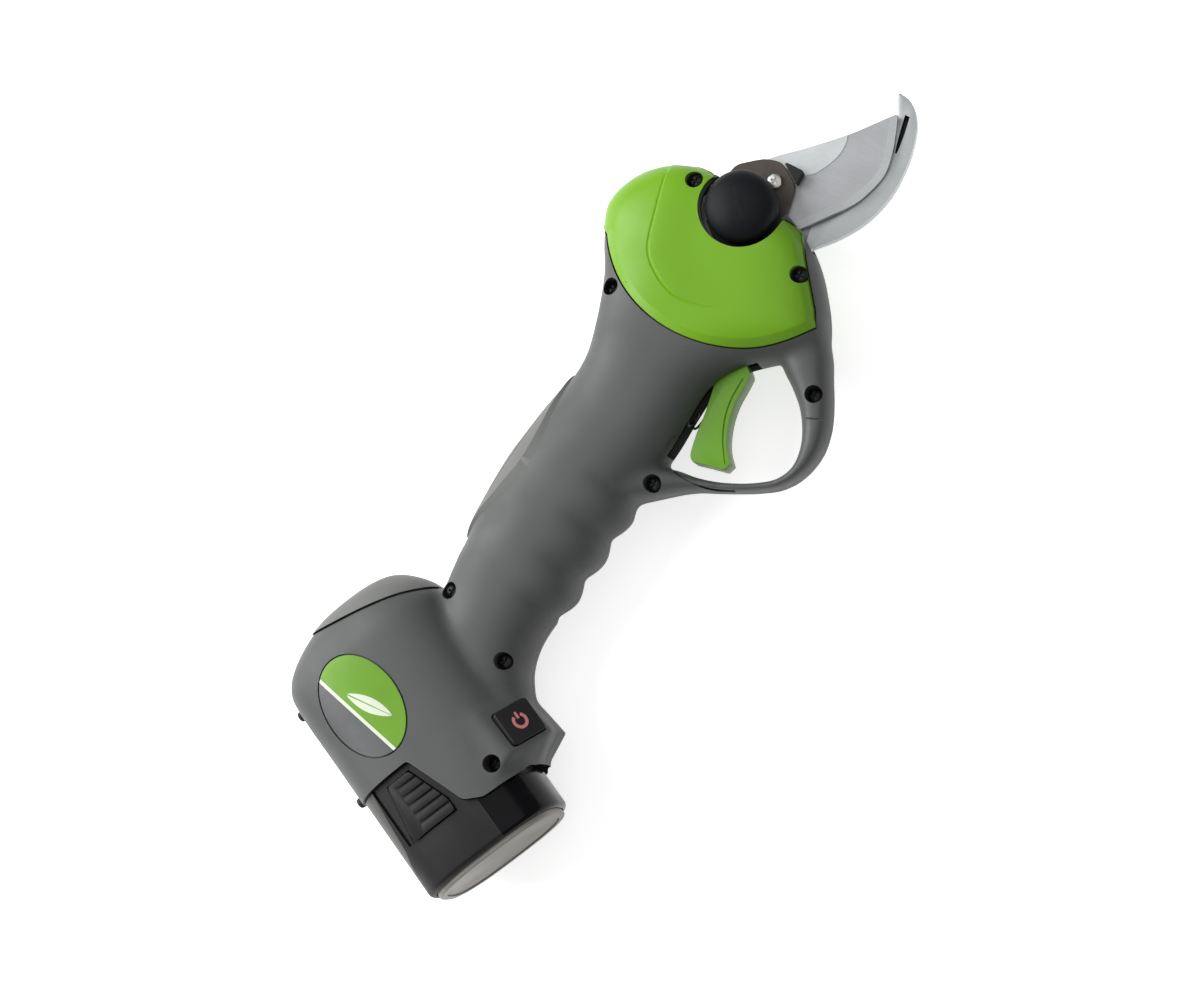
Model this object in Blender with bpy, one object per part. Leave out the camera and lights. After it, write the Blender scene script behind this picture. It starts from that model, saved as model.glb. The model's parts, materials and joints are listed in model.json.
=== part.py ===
"""Battery electric pruner: a pistol-grip pruner with a bypass blade and a slide-on battery.

The tool lies on its left side. +X runs along the handle from the foot to the blade, +Y to the
back of the handle and +Z to the tool's right side. Every size below is in millimetres in the tool
frame, whose origin is the blade pivot on the mid-plane; PIVOT places that point in the world, so
that the world's origin is under the middle of the whole tool.

Two more frames are used: the foot frame (s outward along the battery, t across it, z), and the
drive frame (d from the blade pivot back along the motor, e across it, z).
"""
import bpy
import bmesh
from math import atan2, cos, pi, radians, sin
from mathutils import Vector

MM = 0.001
PIVOT = Vector((100.7, 2.45, 26.18))
GAP = 0.35

# Housing
WALL = 2.6
BAY_WALL = 1.9
HEAD_WALL = 4.6
PARTING = 0.17
RING_POINTS = 20
HOLLOW_POINTS = 14

# Handle and head: x, front y, back y, half thickness, roundness power
HANDLE = [
    (-196, -27, 24, 17, 2.4),
    (-188, -20.5, 26, 18, 2.4),
    (-180, -14.8, 27, 18.6, 2.4),
    (-170, -12.2, 28, 19, 2.4),
    (-158, -13, 29.5, 19.5, 2.4),
    (-150, -15.5, 30, 19.5, 2.4),
    (-142, -14.7, 31, 19.5, 2.4),
    (-133, -16.9, 31.3, 19.5, 2.4),
    (-125, -15.9, 31.3, 19.5, 2.4),
    (-116, -18.2, 31, 19.5, 2.4),
    (-108, -17, 30, 19.5, 2.4),
    (-96, -19, 28.3, 19.5, 2.4),
    (-84, -20, 26, 19.5, 2.5),
    (-72, -20, 25.5, 20, 2.6),
    (-60, -21, 28.5, 20.3, 2.7),
    (-50, -26, 32, 20.7, 2.8),
    (-42, -34, 35.5, 21, 2.9),
    (-34, -44, 40.5, 21.2, 3),
    (-27, -48.5, 44, 21.2, 3),
    (-20, -45.5, 46, 21.2, 3),
    (-12, -39.5, 44.3, 21, 3),
    (-4, -32, 39.5, 20.4, 3),
    (2, -24, 32.5, 19, 3),
    (6, -15, 24, 16, 3),
]
# Stations that bound the neck, the grip and the head
NECK_TO, HEAD_INSIDE_FROM, HEAD_FROM, GRIP_TO = 8, 13, 14, 17

# Trigger guard: x, y, width in the plane, half thickness
GUARD = [
    (-20, -30, 20, 12),
    (-34, -43.7, 18.5, 12),
    (-41.3, -50.6, 14.5, 11.5),
    (-47.6, -55.9, 11.8, 11),
    (-54.6, -60, 10, 10.5),
    (-62.4, -62.4, 7.8, 10),
    (-71, -62, 4.8, 9),
    (-77.9, -58.3, 3.6, 8),
    (-82.8, -52.2, 3.2, 7.5),
    (-86.6, -45.8, 3.2, 7.5),
    (-89.7, -39.6, 3.6, 8),
    (-92.6, -32.6, 5, 9),
    (-96.4, -24, 9.5, 11),
    (-104, -12, 14, 14),
]

# Foot: s, left t, right t, half thickness, roundness power
FOOT_TOP = Vector((-201, 56.7, 0))
FOOT_TURN = radians(247)
FOOT = [
    (-3, 2, 20, 8, 2.2),
    (-0.7, -9, 28, 16, 2.4),
    (4.6, -20, 34, 21.5, 2.6),
    (11, -26.8, 38, 24.5, 2.8),
    (20, -28.6, 39, 26, 3),
    (45, -28.6, 38, 26.4, 3),
    (68, -28.6, 36, 26.4, 3),
    (90, -28.6, 31, 25.9, 3),
]
# Button boss on the foot: s, front t, half thickness of the front face
BOSS = [(54, 36, 9), (61, 41, 12.5), (80, 43, 12.5), (88, 28, 8)]
# Edge of the heel bumper on the foot, in s and t
HEEL_EDGE = [(-20, -14), (-1, -10), (2.2, 0.3), (5.5, 15.5), (8.7, 28), (11.7, 36), (13.5, 42), (-20, 42)]
# Edge of the foot round the battery, in s and t
BATTERY_EDGE = [(60, -60), (60, -3), (83, 5.5), (86.4, 12), (86.4, 70), (150, 70), (150, -60)]

# Blade pivot stack, z of each layer
HOOK_Z = (-4.7, -0.35)
BLADE_Z = (0.35, 3.9)
CLAMP_Z = (4.25, 7.2)
PIVOT_R = 5.0
COVER_R = 50
MOUTH_R = 15.2

# Drive train
DRIVE_TURN = radians(176.5)
PINION_TEETH = 12
BEVEL_NEAR, BEVEL_FAR = 30, 38
SUN_TEETH, PLANET_TEETH, RING_TEETH = 12, 12, 36
GEAR_MODULE = 2 / 3
CASE_R = 15
MOTOR_FROM, MOTOR_TO = 82, 130
MOTOR_R = 14.5

# Trigger
TRIGGER_PIVOT = (-47, -22)
TRIGGER_HALF = 6

# Battery pack, in the foot frame
PACK_TOP, PACK_END, PACK_FACE = 24, 102, 103.7
TOWER = (-25, 15.8, 20.6)
PACK = (-28.2, 29.4, 24)
TOWER_POWER, PACK_POWER = 4, 2.8
PACK_WALL = 1.4
CELL_R, CELL_LENGTH = 9.0, 65

# Screws of the housing: x, y, seat z, tip z
SCREWS = {
    "cover_screw_back": (0.3, 19.6, 16.5, 10.5),
    "cover_screw_front": (-11.2, -30, 15, -9),
    "guard_screw": (-44.9, -54.5, 6.5, -7),
    "grip_screw_front": (-100, -20.5, 8.5, -9),
    "grip_screw_low": (-180.5, -7, 13, -9),
    "foot_screw": (-212.6, -24, 18, -9),
    "neck_screw_back": (-46.8, 27.8, 9, -7),
    "grip_screw_back": (-168.9, 23.6, 9, -9),
}
SCREW_HEAD_R, SCREW_R, BOSS_R = 2.7, 1.4, 4.2
HOOK_EARS = [(-4, -20), (-3, 22)]
EAR_SCREW_R, EAR_SCREW_TIP = 1.7, -14


def clear_scene():
    for obj in list(bpy.data.objects):
        bpy.data.objects.remove(obj)


def material(name, colour, roughness=0.5, metallic=0.0):
    mat = bpy.data.materials.new(name)
    mat.use_nodes = True
    shader = mat.node_tree.nodes["Principled BSDF"]
    shader.inputs["Base Color"].default_value = (*colour, 1)
    shader.inputs["Roughness"].default_value = roughness
    shader.inputs["Metallic"].default_value = metallic
    mat.diffuse_color = (*colour, 1)
    return mat


clear_scene()
GREY = material("grey_plastic", (0.11, 0.12, 0.12), 0.55)
GREEN = material("green_plastic", (0.16, 0.42, 0.01), 0.4)
BLACK = material("black_plastic", (0.02, 0.02, 0.02), 0.45)
STEEL = material("blade_steel", (0.6, 0.62, 0.63), 0.3, 1.0)
BRONZE = material("bronzed_steel", (0.12, 0.09, 0.07), 0.45, 0.8)
ZINC = material("zinc_steel", (0.55, 0.55, 0.53), 0.35, 1.0)
RUBBER = material("rubber", (0.03, 0.03, 0.03), 0.8)
BRASS = material("sintered_bronze", (0.45, 0.3, 0.12), 0.45, 1.0)
BOARD = material("circuit_board", (0.01, 0.12, 0.05), 0.5)
CELL = material("cell_wrap", (0.05, 0.16, 0.35), 0.4)
SILVER = material("silver_label", (0.55, 0.52, 0.46), 0.4, 0.3)


# ---------------------------------------------------------------- frames and outlines

def foot(s, t, z=0.0):
    """A tool-frame point from the foot frame."""
    along = Vector((cos(FOOT_TURN), sin(FOOT_TURN), 0))
    across = Vector((-sin(FOOT_TURN), cos(FOOT_TURN), 0))
    return FOOT_TOP + s * along + t * across + Vector((0, 0, z))


def drive(d, e=0.0, z=0.0):
    """A tool-frame point from the drive frame."""
    along = Vector((cos(DRIVE_TURN), sin(DRIVE_TURN), 0))
    across = Vector((sin(DRIVE_TURN), -cos(DRIVE_TURN), 0))
    return d * along + e * across + Vector((0, 0, z))


def arc(centre, radius, start, end, steps):
    """Points on an arc in the plane, angles in degrees."""
    points = []
    for i in range(steps + 1):
        angle = radians(start + (end - start) * i / steps)
        points.append((centre[0] + radius * cos(angle), centre[1] + radius * sin(angle)))
    return points


def grow(outline, distance):
    """An outline with every edge moved outward by a distance."""
    area = sum(a[0] * b[1] - b[0] * a[1] for a, b in zip(outline, outline[1:] + outline[:1]))
    side = distance if area > 0 else -distance
    grown = []
    for i, point in enumerate(outline):
        before = Vector(point) - Vector(outline[i - 1])
        after = Vector(outline[(i + 1) % len(outline)]) - Vector(point)
        n1 = Vector((before.y, -before.x)).normalized()
        n2 = Vector((after.y, -after.x)).normalized()
        shift = (n1 + n2) / (1 + n1.dot(n2))
        grown.append((point[0] + side * shift.x, point[1] + side * shift.y))
    return grown


def oval(u_low, u_high, half_w, power, count=RING_POINTS):
    """A superellipse as (u, w) pairs between u_low and u_high."""
    middle, half_u = (u_low + u_high) / 2, (u_high - u_low) / 2
    pairs = []
    for i in range(count):
        angle = 2 * pi * (i + 0.5) / count
        c, s = cos(angle), sin(angle)
        u = abs(c) ** (2 / power) * (1 if c > 0 else -1)
        w = abs(s) ** (2 / power) * (1 if s > 0 else -1)
        pairs.append((middle + half_u * u, half_w * w))
    return pairs


# ---------------------------------------------------------------- mesh making

def build_object(name, verts, faces, mat=None, origin=(0, 0, 0)):
    """A mesh object from tool-frame points, with its origin at a tool-frame point."""
    origin = Vector(origin)
    mesh = bpy.data.meshes.new(name)
    mesh.from_pydata([(Vector(v) - origin) * MM for v in verts], [], faces)
    bm = bmesh.new()
    bm.from_mesh(mesh)
    bmesh.ops.remove_doubles(bm, verts=bm.verts, dist=1e-7)
    bmesh.ops.recalc_face_normals(bm, faces=bm.faces)
    if bm.calc_volume(signed=True) < 0:
        bmesh.ops.reverse_faces(bm, faces=bm.faces)
    bm.to_mesh(mesh)
    bm.free()
    obj = bpy.data.objects.new(name, mesh)
    obj.location = (origin + PIVOT) * MM
    bpy.context.scene.collection.objects.link(obj)
    if mat:
        mesh.materials.append(mat)
    else:
        obj.hide_render = True
        obj.display_type = "WIRE"
    return obj


def skin(rings, closed=False):
    """Vertices and faces of a surface through rings of equal length; ends capped if open."""
    count = len(rings[0])
    verts = [v for ring in rings for v in ring]
    faces = []
    spans = len(rings) if closed else len(rings) - 1
    for i in range(spans):
        a, b = i * count, ((i + 1) % len(rings)) * count
        for j in range(count):
            k = (j + 1) % count
            faces.append((a + j, a + k, b + k, b + j))
    if not closed:
        faces.append(tuple(range(count))[::-1])
        faces.append(tuple(range(len(verts) - count, len(verts))))
    return verts, faces


def merged(shapes):
    """One vertex and face list from several separate shapes."""
    verts, faces = [], []
    for shape_verts, shape_faces in shapes:
        start = len(verts)
        verts.extend(shape_verts)
        faces.extend(tuple(start + i for i in face) for face in shape_faces)
    return verts, faces


def prism_shape(outline, low, high, place=None):
    """A flat outline made solid between two heights; place maps (u, w, z) into the tool frame."""
    place = place or (lambda u, w, z: Vector((u, w, z)))
    return skin([[place(u, w, low) for u, w in outline], [place(u, w, high) for u, w in outline]])


def turned_shape(base, direction, profile, sides=16, closed=False):
    """A solid of revolution; the profile is (distance along the axis, radius)."""
    axis = Vector(direction).normalized()
    helper = Vector((0, 0, 1)) if abs(axis.z) < 0.9 else Vector((1, 0, 0))
    u = axis.cross(helper).normalized()
    w = axis.cross(u)
    rings = []
    for along, radius in profile:
        centre = Vector(base) + axis * along
        turn = [2 * pi * (i + 0.5) / sides for i in range(sides)]
        rings.append([centre + radius * (cos(a) * u + sin(a) * w) for a in turn])
    return skin(rings, closed)


def make(name, shape, mat=None, origin=(0, 0, 0)):
    return build_object(name, shape[0], shape[1], mat, origin)


def boolean(obj, kind, *tools, solver="EXACT"):
    for tool in tools:
        mod = obj.modifiers.new(kind.lower(), "BOOLEAN")
        mod.operation = kind
        mod.object = tool
        mod.solver = solver
    return obj


def cut(obj, *tools, solver="EXACT"):
    return boolean(obj, "DIFFERENCE", *tools, solver=solver)


def join(obj, *tools):
    return boolean(obj, "UNION", *tools)


def common(obj, *tools):
    return boolean(obj, "INTERSECT", *tools)


# ---------------------------------------------------------------- housing forms

def handle_shape(inset=0.0, first=0, last=None, end_inset=0.0, count=RING_POINTS):
    """The handle and head as one loft, drawn in by an inset."""
    rings = []
    stations = HANDLE[first:last]
    for i, (x, front, back, half, power) in enumerate(stations):
        if i == len(stations) - 1:
            x -= end_inset
        pairs = oval(front + inset, back - inset, half - inset, power, count)
        rings.append([Vector((x, y, z)) for y, z in pairs])
    return skin(rings)


def guard_shape():
    rings = []
    for i, (x, y, width, half) in enumerate(GUARD):
        before = GUARD[max(i - 1, 0)]
        after = GUARD[min(i + 1, len(GUARD) - 1)]
        turn = atan2(after[1] - before[1], after[0] - before[0]) + pi / 2
        pairs = oval(-width / 2, width / 2, half, 2.6, 16)
        rings.append([Vector((x + u * cos(turn), y + u * sin(turn), z)) for u, z in pairs])
    return skin(rings)


def foot_shape(inset=0.0, top_inset=0.0, run_out=0.0, squarer=0.0):
    rings = []
    for i, (s, left, right, half, power) in enumerate(FOOT):
        if i < 3:
            s += top_inset
        if i == len(FOOT) - 1:
            s += run_out
        pairs = oval(left + inset, right - inset, half - inset, power + squarer)
        rings.append([foot(s, t, z) for t, z in pairs])
    return skin(rings)


def boss_shape():
    rings = []
    for s, front, half in BOSS:
        back = 6
        shoulder = front - 15
        outline = [(back, -25.5), (shoulder, -24.8), (front, -half), (front, half), (shoulder, 24.8),
                   (back, 25.5)]
        rings.append([foot(s, t, z) for t, z in outline])
    return skin(rings)


def screw_recess_shapes():
    """Stepped holes: the open recess over the head, the clearance and the pilot."""
    shapes = []
    for x, y, seat, tip in SCREWS.values():
        profile = [(30, SCREW_HEAD_R + 0.5), (seat - 2.5, SCREW_HEAD_R + 0.5),
                   (seat - 2.5, SCREW_R + GAP), (tip - 1, SCREW_R + GAP)]
        profile = [(-along, radius) for along, radius in profile]
        shapes.append(turned_shape((x, y, 0), (0, 0, -1), profile, 8))
    return shapes


def boss_shapes():
    """Solid bosses round the screws, the trigger pin and the seats of the fixed blade."""
    shapes = []
    for name, (x, y, _, _) in SCREWS.items():
        low = 8.9 if name == "cover_screw_back" else -24
        shapes.append(turned_shape((x, y, 0), (0, 0, 1), [(low, BOSS_R), (24, BOSS_R)], 8))
    for side in (-1, 1):
        base = (*TRIGGER_PIVOT, 0)
        shapes.append(turned_shape(base, (0, 0, side), [(TRIGGER_HALF + 0.6, 4), (24, 4)], 8))
    for x, y in HOOK_EARS:
        shapes.append(turned_shape((x, y, 0), (0, 0, -1), [(-HOOK_Z[0] + GAP, 4.4), (24, 4.4)], 8))
    return shapes


def rib_shape(at, thickness=2.2):
    outline = [(-26, -24), (26, -24), (26, 24), (-26, 24)]
    return prism_shape(outline, at, at + thickness, lambda e, z, d: drive(d, e, z))


def cavity_form():
    """The hollow inside both halves."""
    grip = make("grip_hollow", handle_shape(WALL, 0, GRIP_TO, 0, HOLLOW_POINTS))
    head = make("head_hollow", handle_shape(HEAD_WALL, HEAD_FROM, None, 3.0, HOLLOW_POINTS))
    bay = make("bay_hollow", foot_shape(BAY_WALL, 3.2, 20, 0.3))
    ribs = make("motor_ribs", merged([rib_shape(76), rib_shape(86), rib_shape(124)]))
    envelope = turned_shape(drive(0), drive(1), [(40, MOTOR_R + 1), (140, MOTOR_R + 1)], 24)
    cut(ribs, make("motor_space", envelope))
    bosses = make("screw_bosses", merged(boss_shapes()))
    return cut(join(grip, head, bay), ribs, bosses)


def cover_outline(extra=0.0):
    """Outline of the green cover: arc about the pivot, then round the nose and the cap."""
    outline = arc((0, 0), COVER_R + extra, 128, 241, 16)
    outline += [(-19, -40.3 - extra), (-5, -28.4 - extra), (3.6 + extra, -21.3 - extra),
                (3.4 + extra, -15.5)]
    outline += arc((0, 0), MOUTH_R - extra, 282, 72, 12)
    outline += [(7 + extra, 17), (7 + extra, 33), (-5, 50), (-25, 52)]
    return outline


def palm_outline(extra=0.0):
    """Lens in x and z on the back of the handle."""
    centre, half_x, half_z = -115, 35 + extra, 16.4 + extra
    points = []
    for i in range(24):
        angle = 2 * pi * i / 24
        z = half_z * sin(angle) * (0.75 + 0.25 * abs(sin(angle)))
        points.append((centre + half_x * cos(angle), z))
    return points


def badge_outline(extra=0.0):
    return [(34.6 + (19.7 + extra) * cos(2 * pi * i / 24), -4.7 + (14 + extra) * sin(2 * pi * i / 24))
            for i in range(24)]


def slab(name, outline, low, high, place=None):
    return make(name, prism_shape(outline, low, high, place))


def by_foot_st(s, t, z):
    return foot(s, t, z)


def by_back(x, z, y):
    return Vector((x, y, z))


def button_frame(u, w, h):
    """Frame of the power button: u along the foot, w down its facet, h out of it."""
    middle = foot(71.8, 36.2, 17.9)
    tilt = atan2(BOSS[2][1] - (BOSS[2][1] - 15), 24.8 - BOSS[2][2])
    facet = Vector(foot(0, 1) - foot(0, 0)) * sin(tilt) - Vector((0, 0, cos(tilt)))
    out = Vector(foot(0, 1) - foot(0, 0)) * cos(tilt) + Vector((0, 0, sin(tilt)))
    return middle + u * (foot(1, 0) - foot(0, 0)) + w * facet + h * out


def rounded_box(half_u, half_w, radius, steps=3):
    outline = []
    corners = [(half_u - radius, half_w - radius, 0), (radius - half_u, half_w - radius, 90),
               (radius - half_u, radius - half_w, 180), (half_u - radius, radius - half_w, 270)]
    for u, w, start in corners:
        outline += arc((u, w), radius, start, start + 90, steps)
    return outline


def pocket(name, region, form_shape):
    """What a let-in skin piece takes out of the housing: its region outside an inner form."""
    return cut(region, make(name + "_floor", form_shape))


def housing_openings():
    """Everything cut out of both halves."""
    battery = slab("battery_opening", grow(BATTERY_EDGE, 0), -60, 60, by_foot_st)
    slot = [(-84, -30), (-89, -26), (-89, -10), (-42, -9), (-42, -29), (-50, -34), (-60, -33)]
    trigger = slab("trigger_slot", slot, -TRIGGER_HALF - 0.6, TRIGGER_HALF + 0.6)
    mouth = [(20, -60), (-9, -17), (-9, 24), (-5, 60), (30, 60), (30, -60)]
    nose = slab("blade_slot", mouth, HOOK_Z[0] - 0.8, CLAMP_Z[1] + 0.8)
    recess = make("screw_recesses", merged(screw_recess_shapes()))
    low, radius = EAR_SCREW_TIP - 1, EAR_SCREW_R + GAP
    ears = [turned_shape((x, y, 0), (0, 0, 1), [(low, radius), (0, radius)], 8) for x, y in HOOK_EARS]
    ear_holes = make("hook_screw_holes", merged(ears))
    pin = turned_shape((*TRIGGER_PIVOT, 0), (0, 0, 1), [(-12.5, 2.1), (12.5, 2.1)], 12)
    pin_hole = make("trigger_pin_hole", pin)
    cap = [turned_shape((0, 0, 0), (0, 0, 1), [(2, MOUTH_R - 0.5), (30, MOUTH_R - 0.5)], 28),
           turned_shape((0, 0, 0), (0, 0, 1), [(-30, 9.4), (-13, 9.4), (-13, 12), (-2, 12)], 20)]
    cap_hole = make("cap_hole", merged(cap))
    return [battery, trigger, nose, cap_hole, recess, ear_holes, pin_hole]


def skin_pockets():
    """Pockets for the palm pad and heel bumper, in both halves, and for the badge."""
    palm = slab("palm_region", palm_outline(GAP), 4, 60, by_back)
    heel = slab("heel_region", grow(HEEL_EDGE, GAP), -40, 40, by_foot_st)
    badge = slab("badge_region", badge_outline(GAP), 15, 40, by_foot_st)
    cut(heel, make("neck_keep", handle_shape(0, 0, NECK_TO)))
    shared = [pocket("palm", palm, handle_shape(1.6)), pocket("heel", heel, foot_shape(1.0, 1.0))]
    return shared, pocket("badge", badge, foot_shape(1.0, 1.0))


def make_housing():
    cavity = cavity_form()
    openings = housing_openings()
    pockets, badge_pocket = skin_pockets()
    button_hole = slab("button_hole", rounded_box(7.15, 7.75, 1.8), -12, 10, button_frame)
    for side, name in ((1, "housing_right"), (-1, "housing_left")):
        half = make(name, handle_shape(), GREY)
        join(half, make(name + "_guard", guard_shape()), make(name + "_foot", foot_shape()),
             make(name + "_boss", boss_shape()))
        away = [(-300, -90), (120, -90), (120, 90), (-300, 90)]
        cut(half, slab(name + "_parting", away, side * PARTING, -side * 70))
        cut(half, cavity)
        cover_zone = slab(name + "_cover_zone", cover_outline(GAP), side * 6.65, side * 40)
        cover_pocket = pocket(name + "_cover", cover_zone, handle_shape(2.4, HEAD_FROM))
        cut(half, cover_pocket, solver="MANIFOLD")
        cut(half, *openings, *pockets, solver="MANIFOLD")
        if side > 0:
            cut(half, badge_pocket, button_hole, solver="MANIFOLD")


def make_covers():
    for side, name in ((1, "head_cover_right"), (-1, "head_cover_left")):
        cover = make(name, handle_shape(-0.5, HEAD_FROM), GREEN)
        common(cover, slab(name + "_zone", cover_outline(), side * 7, side * 40))
        cut(cover, make(name + "_inside", handle_shape(2.05, HEAD_INSIDE_FROM, None, -10)))
        if side > 0:
            cut(cover, make(name + "_holes", merged(screw_recess_shapes()[:2])))


def make_trim():
    pad = make("palm_pad", handle_shape(-1.1), GREY)
    common(pad, slab("palm_zone", palm_outline(), 4.35, 60, by_back))
    cut(pad, make("palm_inside", handle_shape(1.25)))
    heel = make("heel_bumper", foot_shape(-0.4, -0.4), GREY)
    common(heel, slab("heel_zone", HEEL_EDGE, -40, 40, by_foot_st))
    neck = make("heel_neck", handle_shape(-GAP, 0, NECK_TO))
    cut(heel, make("heel_inside", foot_shape(0.65, 0.65)), neck)
    badge = make("badge", foot_shape(-0.3, -0.3), GREEN)
    common(badge, slab("badge_zone", badge_outline(), 15.35, 40, by_foot_st))
    cut(badge, make("badge_inside", foot_shape(0.65, 0.65)))
    for name, s in (("stud_upper", 18.5), ("stud_lower", 57)):
        base = foot(s, -28.9 + (0.3 if s < 20 else 0), 0)
        shape = turned_shape(base, foot(0, -1) - foot(0, 0), [(0, 1.9), (2.2, 1.9), (2.9, 1.3)], 12)
        make(name, shape, RUBBER)


def make_screws():
    for name, (x, y, seat, tip) in SCREWS.items():
        head = seat - 2.15
        profile = [(tip, SCREW_R), (head, SCREW_R), (head, SCREW_HEAD_R), (seat - 0.4, SCREW_HEAD_R),
                   (seat, SCREW_HEAD_R - 0.5)]
        make(name, turned_shape((x, y, 0), (0, 0, 1), profile, 8), ZINC)


# ---------------------------------------------------------------- blades and pivot

def hook_outline():
    """Fixed counter blade: base round the pivot, ears, and the crescent up to its tip."""
    outer = [(1, -25.5), (9, -32.2), (19, -37.8), (31, -40.7), (44, -40.1), (54.5, -37.3), (60.4, -33.8),
             (63.6, -29.6), (64.4, -25)]
    inner = [(57.5, -26.2), (52.5, -30.5), (43, -32.5), (32, -31), (22, -26.5), (15, -19.5), (13, -9)]
    return outer + inner + arc((0, 0), 15, -10, 70, 6) + arc((-3, 22), 5, 40, 180, 5) + \
        [(-9, 14)] + arc((0, 0), 14.5, 150, 215, 4) + arc((-4, -20), 5, 160, 260, 4)


# Cutting edge of the moving blade, from its tip to the pivot, and how wide and deep it is ground
EDGE = [(56.6, -28.9), (50.5, -31.6), (44, -34), (35, -35.6), (25, -33.1), (19, -29.9), (14, -26),
        (8, -21.5), (0, -15.3)]
GRIND_WIDTH, GRIND_DEPTH = 3.0, 1.6


def blade_outline():
    """Moving blade: spine, belly with the cutting edge, and the tail that the sector drives."""
    spine = [(12.5, 9.5), (21.6, 3.4), (30.7, -6.1), (41.9, -16.9), (49.9, -23.3), (56, -28)]
    tail = arc((0, 0), 14, -110, -165, 4) + arc((0, 0), 27, 186, 142, 5)
    return spine + EDGE + tail + arc((0, 0), 15.8, 100, 55, 4)


def hole(name, x, y, radius, low, high, sides=16):
    return make(name, turned_shape((x, y, 0), (0, 0, 1), [(low, radius), (high, radius)], sides))


SECTOR_BOSSES = [(22 * cos(radians(a)), 22 * sin(radians(a))) for a in (150, 178)]
CLAMP_SCREW = (14.5, -3.4)


def make_fixed_blade():
    hook = make("fixed_blade", prism_shape(hook_outline(), *HOOK_Z), STEEL)
    cut(hook, hole("hook_bore", 0, 0, 7.3, -10, 10, 24))
    for i, (x, y) in enumerate(HOOK_EARS):
        seat = [(-10, 2.1), (-2.9, 2.1), (-2.9, 3.6), (5, 3.6)]
        cut(hook, make(f"ear_hole_{i}", turned_shape((x, y, 0), (0, 0, 1), seat, 12)))
        profile = [(EAR_SCREW_TIP, EAR_SCREW_R), (-2.6, EAR_SCREW_R), (-2.6, 3.2), (-0.6, 3.2)]
        make(f"hook_screw_{i + 1}", turned_shape((x, y, 0), (0, 0, 1), profile, 12), ZINC)
    bush = [(-9.0, 5.3), (-9.0, 9.0), (-5.1, 9.0), (-5.1, 6.95), (-0.35, 6.95), (-0.35, 5.3)]
    make("pivot_bush", turned_shape((0, 0, 0), (0, 0, 1), bush, 24, closed=True), BRASS)


def make_moving_blade():
    blade = make("moving_blade", prism_shape(blade_outline(), *BLADE_Z), STEEL)
    low, high = BLADE_Z[1] - GRIND_DEPTH, BLADE_Z[1] + 0.6
    rings = []
    for x, y in [(62, -26)] + EDGE:
        away = Vector((x - 30, y + 2, 0)).normalized()
        flat = Vector((x, y, 0)) - away * GRIND_WIDTH
        beyond = flat + away * 14
        rings.append([Vector((flat.x, flat.y, high)), Vector((flat.x, flat.y, BLADE_Z[1])),
                      Vector((x, y, low)), Vector((beyond.x, beyond.y, low)),
                      Vector((beyond.x, beyond.y, high))])
    cut(blade, make("edge_grind", skin(rings)))
    cut(blade, hole("blade_bore", 0, 0, PIVOT_R + GAP, -10, 10, 24))
    for i, (x, y) in enumerate(SECTOR_BOSSES):
        cut(blade, hole(f"tail_hole_{i}", x, y, 2.1, -10, 10, 12))
    cut(blade, hole("clamp_screw_hole", *CLAMP_SCREW, 1.9, -10, 10, 12))


def make_pivot():
    bolt = [(-17.4, 7.2), (-16.6, 8), (-13.5, 8), (-13.5, PIVOT_R), (12.2, PIVOT_R), (13, 4.2)]
    make("pivot_bolt", turned_shape((0, 0, 0), (0, 0, 1), bolt, 24), ZINC)
    nut = make("pivot_nut", turned_shape((0, 0, 0), (0, 0, 1), [(7.55, 9.2), (13.4, 9.2)], 6), ZINC)
    cut(nut, hole("nut_bore", 0, 0, PIVOT_R + GAP, 0, 20, 24))
    cap = [(7.55, 10.9), (7.55, 12.2), (18.5, 13), (22, 11.8), (24.6, 8.8), (26.2, 3), (23.8, 3),
           (21.8, 8.0), (18.4, 10.9)]
    make("pivot_cap", turned_shape((0, 0, 0), (0, 0, 1), cap, 20, closed=True), BLACK)
    plate = [(13.4, 12.4), (20.2, 4.2), (22, -2.2), (16.7, -10.6), (2, -13.6)]
    plate += arc((0, 0), 14.5, -95, -210, 8) + arc((0, 0), 14.5, 130, 60, 5)
    clamp = make("clamp_plate", prism_shape(plate, *CLAMP_Z), BRONZE)
    cut(clamp, hole("clamp_bore", 0, 0, PIVOT_R + GAP, 0, 20, 24))
    cut(clamp, hole("clamp_hole", *CLAMP_SCREW, 1.9, 0, 20, 12))
    stop = [(17.2, -10.9), (22.6, -10.9), (22.4, -4.2), (21.8, -3.4)]
    make("blade_stop", prism_shape(stop, CLAMP_Z[0], 9.0), RUBBER)
    profile = [(1, 1.5), (7.5, 1.5), (7.5, 2.7), (8.6, 2.7), (9.1, 1.9)]
    make("clamp_screw", turned_shape((*CLAMP_SCREW, 0), (0, 0, 1), profile, 12), ZINC)


# ---------------------------------------------------------------- drive train

def sector_rings():
    """Toothed rim of the bevel sector: four samples for each tooth, scaled from the apex."""
    rings = []
    teeth = [3 + 6 * k for k in range(-10, 2)]
    samples = [(teeth[0] - 3.2, 0.245)]
    for centre in teeth:
        samples += [(centre - 2.2, 0.245), (centre - 0.6, 0.172), (centre + 0.6, 0.172),
                    (centre + 2.2, 0.245)]
    samples.append((teeth[-1] + 2.8, 0.245))
    for turn, height in samples:
        angle = DRIVE_TURN + radians(turn)
        c, s = cos(angle), sin(angle)
        rings.append([Vector((r * c, r * s, z)) for r, z in
                      ((BEVEL_NEAR, -12), (BEVEL_FAR, -12), (BEVEL_FAR, -height * BEVEL_FAR),
                       (BEVEL_NEAR, -height * BEVEL_NEAR))])
    return rings


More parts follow.
